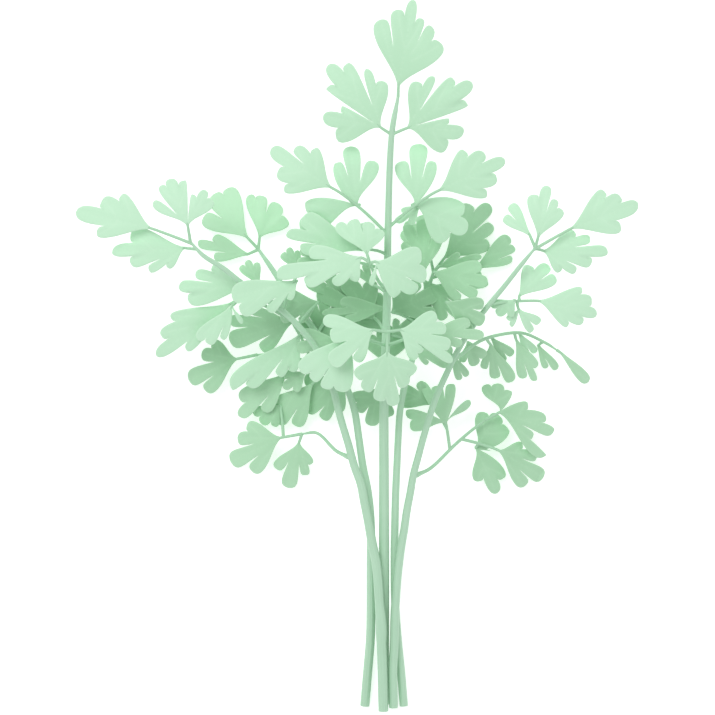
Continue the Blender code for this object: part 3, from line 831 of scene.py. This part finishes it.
def inside_loop(places: np.ndarray, loop: np.ndarray) -> np.ndarray:
    """Tell which plan places lie inside a closed loop.

    Args:
        places: the places.
        loop: the loop's points.

    Returns:
        True for each place inside.
    """
    following = np.roll(loop, -1, axis=0)
    inside = np.zeros(len(places), bool)
    for (x1, y1), (x2, y2) in zip(loop, following):
        if y1 == y2:
            continue
        spans = (y1 > places[:, 1]) != (y2 > places[:, 1])
        inside ^= spans & (places[:, 0] < (x2 - x1) * (places[:, 1] - y1) / (y2 - y1) + x1)
    return inside


def distance_to_loop(places: np.ndarray, loop: np.ndarray) -> np.ndarray:
    """Measure how far plan places lie from a closed loop.

    Args:
        places: the places.
        loop: the loop's points.

    Returns:
        Each place's distance.
    """
    step = np.roll(loop, -1, axis=0) - loop
    squared = np.maximum((step ** 2).sum(axis=1), 1e-18)
    away = places[:, None, :] - loop[None, :, :]
    share = np.clip((away * step[None]).sum(axis=2) / squared[None], 0, 1)
    return np.linalg.norm(away - share[..., None] * step[None], axis=2).min(axis=1)


def add_node(tree: bpy.types.NodeTree, kind: str, sockets: Optional[dict] = None,
             **values: object) -> bpy.types.Node:
    """Add a node to a tree.

    Args:
        tree: the tree.
        kind: the node's type.
        sockets: its inputs by name or number, each a plain value or the socket that feeds it.
        values: its properties, set before its inputs.

    Returns:
        The node.
    """
    node = tree.nodes.new(kind)
    for key, value in values.items():
        setattr(node, key, value)
    for key, value in (sockets or {}).items():
        if isinstance(value, bpy.types.NodeSocket):
            tree.links.new(value, node.inputs[key])
        else:
            node.inputs[key].default_value = value
    return node


def reckon(tree: bpy.types.NodeTree, operation: str, *values: object) -> bpy.types.NodeSocket:
    """Add a Math node.

    Args:
        tree: the tree.
        operation: what it does.
        values: its inputs in order, each a number or a socket.

    Returns:
        The result's socket.
    """
    return add_node(tree, "ShaderNodeMath", dict(enumerate(values)),
                    operation=operation).outputs[0]


@dataclass(frozen=True)
class RodStyle:
    """How finely a rod is drawn and how its skin is ribbed.

    Attributes:
        sides: points round it.
        ribs: ribs round it.
        rib_depth: how deep they are, as a share of the radius.
        spacing: how far apart its rings lie.
        taper: over how long a stretch it thins towards a round end; a stalk's end is drawn.
    """

    sides: int
    ribs: int
    rib_depth: float
    spacing: float
    taper: float = 0.0


STEM_STYLE = RodStyle(40, 10, 0.035, 1.2 * MM, 7 * MM)
RACHIS_STYLE = RodStyle(24, 6, 0.04, 0.8 * MM, 3 * MM)
STALK_STYLE = RodStyle(16, 4, 0.0, 0.5 * MM)


@dataclass
class RodMaker:
    """Turns a route into a ribbed rod with Geometry Nodes.

    Attributes:
        tree: the node tree, built once.
    """

    tree: bpy.types.GeometryNodeTree = field(init=False)

    def __post_init__(self) -> None:
        """Build the tree."""
        self.tree = self._build_tree()

    @staticmethod
    def _build_tree() -> bpy.types.GeometryNodeTree:
        """Build the tree that sweeps a ribbed round along a line of points.

        Returns:
            The tree, with inputs for the number of sides and ribs, their depth and the finish.
        """
        tree = bpy.data.node_groups.new("ribbed rod", "GeometryNodeTree")
        for name, kind in (("Line", "NodeSocketGeometry"), ("Sides", "NodeSocketInt"),
                           ("Ribs", "NodeSocketFloat"), ("Rib depth", "NodeSocketFloat"),
                           ("Finish", "NodeSocketMaterial")):
            tree.interface.new_socket(name, in_out="INPUT", socket_type=kind)
        tree.interface.new_socket("Rod", in_out="OUTPUT", socket_type="NodeSocketGeometry")
        given = add_node(tree, "NodeGroupInput").outputs
        curve = add_node(tree, "GeometryNodeMeshToCurve", {"Mesh": given["Line"]})
        girth = add_node(tree, "GeometryNodeInputNamedAttribute", {"Name": "girth"},
                         data_type="FLOAT")
        circle = add_node(tree, "GeometryNodeCurvePrimitiveCircle",
                          {"Resolution": given["Sides"], "Radius": 1.0}, mode="RADIUS")
        place = add_node(tree, "GeometryNodeInputPosition").outputs["Position"]
        split = add_node(tree, "ShaderNodeSeparateXYZ", {"Vector": place}).outputs
        angle = reckon(tree, "ARCTAN2", split["Y"], split["X"])
        wave = reckon(tree, "COSINE", reckon(tree, "MULTIPLY", angle, given["Ribs"]))
        depth = reckon(tree, "MULTIPLY", wave, given["Rib depth"])
        shift = add_node(tree, "ShaderNodeVectorMath", {0: place, "Scale": depth},
                         operation="SCALE")
        turned = add_node(tree, "GeometryNodeStoreNamedAttribute",
                          {"Geometry": circle.outputs["Curve"], "Name": "around", "Value": place},
                          data_type="FLOAT_VECTOR", domain="POINT")
        ribbed = add_node(tree, "GeometryNodeSetPosition",
                          {"Geometry": turned.outputs["Geometry"],
                           "Offset": shift.outputs["Vector"]})
        sweep = add_node(tree, "GeometryNodeCurveToMesh",
                         {"Curve": curve.outputs["Curve"],
                          "Profile Curve": ribbed.outputs["Geometry"],
                          "Scale": girth.outputs["Attribute"], "Fill Caps": True})
        shade = add_node(tree, "GeometryNodeSetShadeSmooth", {"Geometry": sweep.outputs["Mesh"]})
        realize = add_node(tree, "GeometryNodeRealizeInstances",
                           {"Geometry": shade.outputs["Geometry"]})
        finish = add_node(tree, "GeometryNodeSetMaterial",
                          {"Geometry": realize.outputs["Geometry"], "Material": given["Finish"]})
        add_node(tree, "NodeGroupOutput", {"Rod": finish.outputs["Geometry"]})
        return tree

    def make(self, name: str, route: RodRoute, finish: bpy.types.Material,
             style: RodStyle) -> bpy.types.Mesh:
        """Sweep one rod.

        Args:
            name: the mesh's name.
            route: its centreline and radii.
            finish: its material.
            style: how it is ribbed.

        Returns:
            The finished mesh, placed in the frame.
        """
        line = bpy.data.meshes.new(name + " line")
        line.from_pydata([tuple(place) for place in route.points],
                         [(index, index + 1) for index in range(len(route.points) - 1)], [])
        for label, values in (("girth", route.radii), ("along", run_lengths(route.points) / MM)):
            layer = line.attributes.new(label, "FLOAT", "POINT")
            layer.data.foreach_set("value", values.astype(np.float32))
        holder = bpy.data.objects.new(name + " line", line)
        bpy.context.scene.collection.objects.link(holder)
        modifier = holder.modifiers.new("rod", "NODES")
        modifier.node_group = self.tree
        inputs = {item.name: item.identifier for item in self.tree.interface.items_tree
                  if item.item_type == "SOCKET" and item.in_out == "INPUT"}
        modifier[inputs["Sides"]] = style.sides
        modifier[inputs["Ribs"]] = float(style.ribs)
        modifier[inputs["Rib depth"]] = style.rib_depth
        modifier[inputs["Finish"]] = finish
        graph = bpy.context.evaluated_depsgraph_get()
        mesh = bpy.data.meshes.new_from_object(holder.evaluated_get(graph))
        mesh.name = name
        bpy.data.objects.remove(holder)
        bpy.data.meshes.remove(line)
        return mesh


class ShaderGroups:
    """Shader node groups that more than one finish uses."""

    def __init__(self) -> None:
        """Build each group once."""
        self.mottle = self._mottle()
        self.streaks = self._streaks()
        self.skin = self._skin()

    @staticmethod
    def _new(name: str, inputs: dict, output: str, kind: str) -> tuple:
        """Start a group.

        Args:
            name: its name.
            inputs: its inputs' default values by name.
            output: its output's name.
            kind: its output's socket type.

        Returns:
            The group, and its inputs' sockets.
        """
        group = bpy.data.node_groups.new(name, "ShaderNodeTree")
        for label, value in inputs.items():
            socket = group.interface.new_socket(label, in_out="INPUT",
                                                socket_type="NodeSocketFloat")
            socket.default_value = value
        group.interface.new_socket(output, in_out="OUTPUT", socket_type=kind)
        return group, add_node(group, "NodeGroupInput").outputs

    def _mottle(self) -> bpy.types.ShaderNodeTree:
        """Build the group for soft cloudy unevenness.

        Returns:
            The group, which puts out a mask round one half.
        """
        group, given = self._new("mottle", {"Scale": 90.0, "Amount": 1.0},
                                 "Mask", "NodeSocketFloat")
        spot = add_node(group, "ShaderNodeTexCoord")
        noise = add_node(group, "ShaderNodeTexNoise",
                         {"Vector": spot.outputs["Object"], "Scale": given["Scale"],
                          "Detail": 3.0, "Roughness": 0.55})
        centred = reckon(group, "SUBTRACT", noise.outputs["Fac"], 0.5)
        mask = reckon(group, "MULTIPLY_ADD", centred, given["Amount"], 0.5)
        add_node(group, "NodeGroupOutput", {"Mask": mask})
        return group

    def _streaks(self) -> bpy.types.ShaderNodeTree:
        """Build the group for fine streaks along a rod, from its own attributes.

        Returns:
            The group, which puts out a mask.
        """
        group, given = self._new("streaks", {"Around": 5.0, "Along": 0.06},
                                 "Mask", "NodeSocketFloat")
        around = add_node(group, "ShaderNodeAttribute", attribute_name="around")
        along = add_node(group, "ShaderNodeAttribute", attribute_name="along")
        wide = add_node(group, "ShaderNodeVectorMath",
                        {0: around.outputs["Vector"], "Scale": given["Around"]},
                        operation="SCALE")
        far = add_node(group, "ShaderNodeCombineXYZ",
                       {"Z": reckon(group, "MULTIPLY", along.outputs["Fac"], given["Along"])})
        place = add_node(group, "ShaderNodeVectorMath",
                         {0: wide.outputs["Vector"], 1: far.outputs["Vector"]})
        noise = add_node(group, "ShaderNodeTexNoise",
                         {"Vector": place.outputs["Vector"], "Scale": 1.0, "Detail": 2.0})
        add_node(group, "NodeGroupOutput", {"Mask": noise.outputs["Fac"]})
        return group

    def _skin(self) -> bpy.types.ShaderNodeTree:
        """Build the group for the fine unevenness of plant skin.

        Returns:
            The group, which puts out a normal.
        """
        group, given = self._new("skin", {"Scale": 900.0, "Strength": 0.1},
                                 "Normal", "NodeSocketVector")
        spot = add_node(group, "ShaderNodeTexCoord")
        noise = add_node(group, "ShaderNodeTexNoise",
                         {"Vector": spot.outputs["Object"], "Scale": given["Scale"],
                          "Detail": 2.0})
        bump = add_node(group, "ShaderNodeBump",
                        {"Height": noise.outputs["Fac"], "Strength": given["Strength"],
                         "Distance": 0.15 * MM})
        add_node(group, "NodeGroupOutput", {"Normal": bump.outputs["Normal"]})
        return group


def mix_colours(tree: bpy.types.NodeTree, share: bpy.types.NodeSocket, first: object,
                second: object) -> bpy.types.NodeSocket:
    """Mix two colours.

    Args:
        tree: the material's tree.
        share: says how much of the second colour shows.
        first: the first colour, a socket or plain numbers.
        second: the second colour, a socket or plain numbers.

    Returns:
        The mixed colour's socket.
    """
    mix = add_node(tree, "ShaderNodeMix", {"Factor": share}, data_type="RGBA")
    for label, value in (("A", first), ("B", second)):
        socket = next(item for item in mix.inputs if item.name == label and item.type == "RGBA")
        if isinstance(value, tuple):
            socket.default_value = (*value, 1.0)
        else:
            tree.links.new(value, socket)
    return next(item for item in mix.outputs if item.type == "RGBA")


@dataclass(frozen=True)
class SkinFinish:
    """What the finishes of blades and stalks share: an uneven satin skin.

    Attributes:
        name: the material's name.
        deep: its colour where it is deepest.
        pale: its colour where it is palest.
        roughness: its roughness.
        specular: its specular level.
        grain: the scale and strength of its unevenness.
    """

    specular: ClassVar[float]
    grain: ClassVar[tuple]

    name: str
    deep: tuple
    pale: tuple
    roughness: float

    def colour(self, tree: bpy.types.NodeTree, groups: ShaderGroups) -> bpy.types.NodeSocket:
        """Return the socket of the skin's colour; each kind of finish has its own."""
        raise NotImplementedError

    def make(self, groups: ShaderGroups) -> bpy.types.Material:
        """Make the material.

        Args:
            groups: the shared groups.

        Returns:
            The material.
        """
        material = bpy.data.materials.new(self.name)
        material.use_nodes = True
        tree = material.node_tree
        scale, strength = self.grain
        skin = add_node(tree, "ShaderNodeGroup", {"Scale": scale, "Strength": strength},
                        node_tree=groups.skin)
        shader = tree.nodes["Principled BSDF"]
        shader.inputs["Roughness"].default_value = self.roughness
        shader.inputs["Specular IOR Level"].default_value = self.specular
        tree.links.new(self.colour(tree, groups), shader.inputs["Base Color"])
        tree.links.new(skin.outputs["Normal"], shader.inputs["Normal"])
        return material


@dataclass(frozen=True)
class LeafFinish(SkinFinish):
    """The soft satin finish of a leaflet's blade.

    Attributes:
        edge: the colour of its thin edge.
    """

    specular: ClassVar[float] = 0.32
    grain: ClassVar[tuple] = (900.0, 0.22)

    edge: tuple

    def colour(self, tree: bpy.types.NodeTree, groups: ShaderGroups) -> bpy.types.NodeSocket:
        """Colour the blade by its tone with painted light and shade, cloudily, with paler veins and
        a pale edge.

        Args:
            tree: the material's tree.
            groups: the shared groups.

        Returns:
            The colour's socket.
        """
        painted_light_and_tone, vein, edge = (add_node(tree, "ShaderNodeAttribute", attribute_name=name)
                            .outputs["Fac"] for name in ("painted_light_and_tone", "vein", "edge"))
        mottle = add_node(tree, "ShaderNodeGroup", {"Scale": 120.0, "Amount": 1.1},
                          node_tree=groups.mottle)
        clouds = reckon(tree, "MULTIPLY", mottle.outputs["Mask"], 0.20)
        # Painted light and shade from the leaflet's place, mixed with random tone and clouds.
        painted_light_and_mottle = reckon(tree, "MULTIPLY_ADD", painted_light_and_tone, 0.80, clouds)
        body = mix_colours(tree, painted_light_and_mottle, self.deep, self.pale)
        veined = mix_colours(tree, reckon(tree, "MULTIPLY", vein, 0.22), body, self.edge)
        near_edge = add_node(tree, "ShaderNodeMapRange",
                             {"Value": edge, "From Max": 0.5, "To Min": 0.5, "To Max": 0.0})
        return mix_colours(tree, near_edge.outputs["Result"], veined, self.edge)


@dataclass(frozen=True)
class StalkFinish(SkinFinish):
    """The satin finish of stems and rachises, finely streaked along their length."""

    specular: ClassVar[float] = 0.4
    grain: ClassVar[tuple] = (700.0, 0.18)

    def colour(self, tree: bpy.types.NodeTree, groups: ShaderGroups) -> bpy.types.NodeSocket:
        """Colour the rod by its streaks and clouds.

        Args:
            tree: the material's tree.
            groups: the shared groups.

        Returns:
            The colour's socket.
        """
        streaks = add_node(tree, "ShaderNodeGroup", node_tree=groups.streaks)
        mottle = add_node(tree, "ShaderNodeGroup", {"Scale": 60.0, "Amount": 1.2},
                          node_tree=groups.mottle)
        clouds = reckon(tree, "MULTIPLY", mottle.outputs["Mask"], 0.4)
        share = reckon(tree, "MULTIPLY_ADD", streaks.outputs["Mask"], 0.6, clouds)
        return mix_colours(tree, share, self.deep, self.pale)


class Finishes:
    """Every finish of the bunch, made once."""

    def __init__(self) -> None:
        """Make the shared groups and the materials of each slot."""
        groups = ShaderGroups()
        skins = {
            Slot.STEM: StalkFinish("stem skin", (0.35, 0.58, 0.40), (0.52, 0.75, 0.57), 0.5),
            Slot.RACHIS: StalkFinish("rachis skin", (0.32, 0.57, 0.37), (0.46, 0.71, 0.50), 0.5),
            # The back leaf is a darker copy of the front leaf: painted shade for leaflets low in
            # the bunch.
            Slot.LEAF_FRONT: LeafFinish("front leaf painted lit", (0.38, 0.65, 0.42), (0.53, 0.80, 0.58),
                                        0.55, (0.62, 0.86, 0.66)),
            Slot.LEAF_BACK: LeafFinish("back leaf painted shade", (0.29, 0.53, 0.32), (0.50, 0.78, 0.54),
                                       0.58, (0.52, 0.77, 0.55)),
        }
        self.by_slot = {slot: skin.make(groups) for slot, skin in skins.items()}


@dataclass
class Bunch:
    """The whole bunch: its stems, rachises and leaflets.

    Attributes:
        nodes: the frame's nodes by name.
        finishes: the materials.
        rods: what sweeps stems and stalks.
        grower: what grows blades.
        low_leaf: a leaflet whose base is lower than this takes the back finish, darker with painted
            shade.
        let_in: how far into its stem a rachis begins, as a share of the way to the middle.
        flare: how much thicker a rachis is where it leaves its stem, as a share.
        flare_run: over how long a stretch that fades.
        rod_reach: a stem or rachis within this bears a leaflet before any other stalk.
        stalk_reach: the longest way from a solid's stalk to what bears it.
        slant: how far down the bearer a stalk begins, as a share of its length.
        bent_stalk: a stalk longer than this is led along its own solid.
        stalk_radius: a stalk's radius about half way.
        under_blade: the stalk's end as it thins out beneath the blade: shares of the blade's
            length, radii, and depths under the blade's middle.
        routes: the centreline of every rod, filled in as they are made.
    """

    nodes: dict
    finishes: Finishes
    rods: RodMaker
    grower: BladeGrower
    low_leaf: float = 16 * MM
    let_in: float = 0.8
    flare: float = 0.55
    flare_run: float = 2.2 * MM
    rod_reach: float = 3 * MM
    stalk_reach: float = 4.5 * MM
    slant: float = 0.25
    bent_stalk: float = 1.5 * MM
    stalk_radius: float = 0.46 * MM
    under_blade: tuple = ((0.0, 0.42 * MM, 0.16 * MM), (0.10, 0.36 * MM, 0.24 * MM),
                          (0.20, 0.24 * MM, 0.26 * MM), (0.30, 0.06 * MM, 0.20 * MM))
    routes: dict = field(default_factory=dict)

    def dress(self, name: str, mesh: bpy.types.Mesh, replaced: list) -> None:
        """Make a mesh a piece of the bunch.

        Args:
            name: the piece's name.
            mesh: its finished mesh, placed in the frame.
            replaced: the nodes that it stands for.
        """
        piece = bpy.data.objects.new(name, mesh)
        bpy.context.scene.collection.objects.link(piece)
        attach(piece, "root")
        if replaced:
            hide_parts(*replaced)
        LOG.info("%s: %d faces", name, len(mesh.polygons))

    def make_stems(self) -> None:
        """Sweep the five stems."""
        for name in sorted(self.nodes):
            if not name.startswith("stem_"):
                continue
            route = RodRoute.from_node(self.nodes[name])
            self.routes[name] = route
            fine = route.resampled(STEM_STYLE.spacing).rounded(STEM_STYLE.taper)
            mesh = self.rods.make(name, fine, self.finishes.by_slot[Slot.STEM], STEM_STYLE)
            self.dress("grown_" + name, mesh, [name])

    def make_rachises(self) -> None:
        """Sweep the rachises, each let into its stem with a small flare."""
        for name in sorted(self.nodes):
            if not name.startswith("rachis_"):
                continue
            route, spot = self._from_its_stem(RodRoute.from_node(self.nodes[name]))
            self.routes[name] = route
            begin = route.points[0] + (spot - route.points[0]) * self.let_in
            longer = RodRoute(np.vstack([begin, route.points]),
                              np.concatenate([route.radii[:1], route.radii]))
            fine = longer.resampled(RACHIS_STYLE.spacing)
            fade = np.exp(-(run_lengths(fine.points) / self.flare_run) ** 2)
            fine.radii = fine.radii * (1 + self.flare * fade)
            mesh = self.rods.make(name, fine.rounded(RACHIS_STYLE.taper),
                                  self.finishes.by_slot[Slot.RACHIS], RACHIS_STYLE)
            self.dress("grown_" + name, mesh, [name])

    def _from_its_stem(self, route: RodRoute) -> tuple:
        """Turn a rachis so that it begins at the stem that bears it.

        Args:
            route: the rachis, either way round.

        Returns:
            The route from its stem, and the nearest point of that stem's centreline.
        """
        gaps = []
        for end in (0, -1):
            for name, stem in self.routes.items():
                if name.startswith("stem_"):
                    spot, radius = stem.nearest(route.points[end])
                    gaps.append((float(np.linalg.norm(spot - route.points[end])) - radius,
                                 end, tuple(spot)))
        _, end, spot = min(gaps)
        if end:
            route = RodRoute(route.points[::-1], route.radii[::-1])
        return route, np.array(spot)

    def make_leaflet(self, plan: BladePlan, seed: int, replaced: list) -> None:
        """Grow one leaflet: its blade, and the stalk that runs into its bearer and midrib.

        Args:
            plan: the leaflet's plan.
            seed: sets how it differs from the others.
            replaced: the nodes that it stands for.
        """
        blade = self.grower.grow(plan, seed)
        stalk = self._stalk(plan)
        first = len(blade.faces)
        blade.from_mesh(stalk)
        blade.faces.ensure_lookup_table()
        for face in blade.faces[first:]:
            face.material_index = 1
        bpy.data.meshes.remove(stalk)
        mesh = bpy.data.meshes.new(plan.name)
        blade.to_mesh(mesh)
        blade.free()
        mesh.materials.append(self.finishes.by_slot[plan.slot])
        mesh.materials.append(self.finishes.by_slot[Slot.RACHIS])
        self.dress("grown_" + plan.name, mesh, replaced)

    def _stalk(self, plan: BladePlan) -> bpy.types.Mesh:
        """Sweep a leaflet's stalk, from its bearer's middle to beneath the blade's midrib.

        Args:
            plan: the leaflet's plan.

        Returns:
            The stalk's mesh.
        """
        run = plan.base - plan.root
        lower = plan.root - np.array([0.0, self.slant * np.linalg.norm(run), 0.0])
        start = self._nearest_bearer(lower, plan.name)
        if np.linalg.norm(start - lower) > self.stalk_reach:
            start = plan.root
        points, radii = [start], [0.50 * MM]
        if np.linalg.norm(run) > self.bent_stalk:
            points += [plan.root + run * 0.35 + (start - plan.root) * 0.35,
                       plan.root + run * 0.75]
            radii += [self.stalk_radius, 0.43 * MM]
        for share, radius, depth in self.under_blade:
            spot = plan.heading * share * plan.length
            height = float(plan.heights(spot[None, :])[0]) - depth
            points.append(np.array([*(plan.base[:2] + spot), height]))
            radii.append(radius)
        route = RodRoute(np.array(points), np.array(radii)).resampled(STALK_STYLE.spacing)
        route.points[:, 2] = np.maximum(route.points[:, 2], route.radii + 0.05 * MM)
        return self.rods.make(plan.name + " stalk", route,
                              self.finishes.by_slot[Slot.RACHIS], STALK_STYLE)

    def make_leaflets(self) -> None:
        """Grow every leaflet that the frame holds, then those deeper in the bunch."""
        names = [name for name in sorted(self.nodes)
                 if not name.startswith(("stem_", "rachis_"))]
        plans = [BladePlan.from_node(self.nodes[name], self.low_leaf) for name in names]
        for plan in plans:
            if self._has_stalk(plan):
                self.routes[plan.name] = RodRoute(np.array([plan.root, plan.base]),
                                                  np.full(2, self.stalk_radius))
        for seed, plan in enumerate(plans):
            if not self._has_stalk(plan):
                plan.root = self._nearest_bearer(plan.base, plan.name)
            self.make_leaflet(plan, seed, [plan.name])
        for seed, leaflet in enumerate(INNER_LEAFLETS, len(plans)):
            plan = leaflet.plan()
            plan.root = self._nearest_bearer(plan.base, plan.name)
            self.make_leaflet(plan, seed, [])

    @staticmethod
    def _has_stalk(plan: BladePlan) -> bool:
        """Return whether a leaflet's solid has a stalk of its own."""
        return float(np.linalg.norm(plan.base - plan.root)) > 0.2 * MM

    def _nearest_bearer(self, place: np.ndarray, leaflet: str) -> np.ndarray:
        """Find what bears a leaflet: a stem or rachis close by, else another's stalk.

        Args:
            place: where the leaflet's stalk should begin.
            leaflet: its name, since it can't bear itself.

        Returns:
            The bearer's nearest point.
        """
        spots = {name: route.nearest(place)[0] for name, route in self.routes.items()
                 if name != leaflet}
        gaps = {name: float(np.linalg.norm(spot - place)) for name, spot in spots.items()}
        rods = [name for name in gaps if name.startswith(("stem_", "rachis_"))
                and gaps[name] < self.rod_reach]
        return spots[min(rods or gaps, key=gaps.get)]


@dataclass(frozen=True)
class Lamp:
    """A large soft lamp that faces the bunch.

    Attributes:
        name: its name.
        place: where it hangs.
        size: its side.
        power: its power in watts.
    """

    name: str
    place: tuple
    size: float
    power: float

    def hang(self) -> None:
        """Add the lamp to the scene."""
        light = bpy.data.lights.new(self.name, "AREA")
        light.size, light.energy = self.size, self.power
        lamp = bpy.data.objects.new(self.name, light)
        lamp.location = self.place
        lamp.rotation_euler = (-Vector(self.place)).to_track_quat("-Z", "Y").to_euler()
        bpy.context.scene.collection.objects.link(lamp)


@dataclass
class Studio:
    """A pale floor, soft light, and a camera straight above the bunch.

    Attributes:
        view_width: how much of the bunch's plane the picture spans.
        lens: the camera's focal length in millimetres.
        focus_height: the level at which the span is measured.
        centre: the plan point in the middle of the picture.
        lamps: the lamps.
        room_light: how bright the room round them is.
        floor_half: half the floor's side.
        floor_level: its height, just under the bunch.
        floor_colour: its colour.
        floor_glow: how strongly it is lit from below.
    """

    view_width: float = 214.5 * MM
    lens: float = 1000.0
    focus_height: float = 22 * MM
    centre: tuple = (0.15 * MM, -0.3 * MM)
    lamps: tuple = (Lamp("key", (-0.7, 1.0, 2.2), 1.3, 25.0),
                    Lamp("fill", (1.2, -0.6, 1.8), 2.4, 6.0))
    room_light: float = 0.66
    floor_half: float = 20.0
    floor_level: float = -0.05 * MM
    floor_colour: tuple = (0.93, 0.935, 0.93)
    floor_glow: float = 0.42

    def build(self) -> None:
        """Add the floor, the lights and the camera."""
        scene = bpy.context.scene
        scene.view_settings.view_transform = "Standard"
        self._floor()
        world = bpy.data.worlds.new("soft room")
        world.use_nodes = True
        room = world.node_tree.nodes["Background"].inputs
        room["Color"].default_value = (1, 1, 1, 1)
        room["Strength"].default_value = self.room_light
        scene.world = world
        for lamp in self.lamps:
            lamp.hang()
        lens = bpy.data.cameras.new("camera")
        lens.lens = self.lens
        distance = self.view_width * lens.lens / lens.sensor_width
        lens.clip_start, lens.clip_end = 0.1, distance * 4
        camera = bpy.data.objects.new("camera", lens)
        camera.location = (*self.centre, self.focus_height + distance)
        scene.collection.objects.link(camera)
        scene.camera = camera

    def _floor(self) -> None:
        """Add the floor."""
        mesh = bpy.data.meshes.new("floor")
        half, level = self.floor_half, self.floor_level
        mesh.from_pydata([(-half, -half, level), (half, -half, level), (half, half, level),
                          (-half, half, level)], [], [(0, 1, 2, 3)])
        paint = bpy.data.materials.new("floor")
        paint.use_nodes = True
        shader = paint.node_tree.nodes["Principled BSDF"].inputs
        shader["Base Color"].default_value = (*self.floor_colour, 1)
        shader["Roughness"].default_value = 0.8
        shader["Emission Color"].default_value = (1, 1, 1, 1)
        shader["Emission Strength"].default_value = self.floor_glow
        mesh.materials.append(paint)
        floor = bpy.data.objects.new("floor", mesh)
        bpy.context.scene.collection.objects.link(floor)


def main() -> None:
    """Load the frame, grow the bunch round it, and set the studio."""
    logging.basicConfig(level=logging.INFO, format="%(name)s: %(message)s")
    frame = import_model()
    bunch = Bunch(frame["nodes"], Finishes(), RodMaker(), BladeGrower())
    bunch.make_stems()
    bunch.make_rachises()
    bunch.make_leaflets()
    Studio().build()


if __name__ == "__main__":
    main()
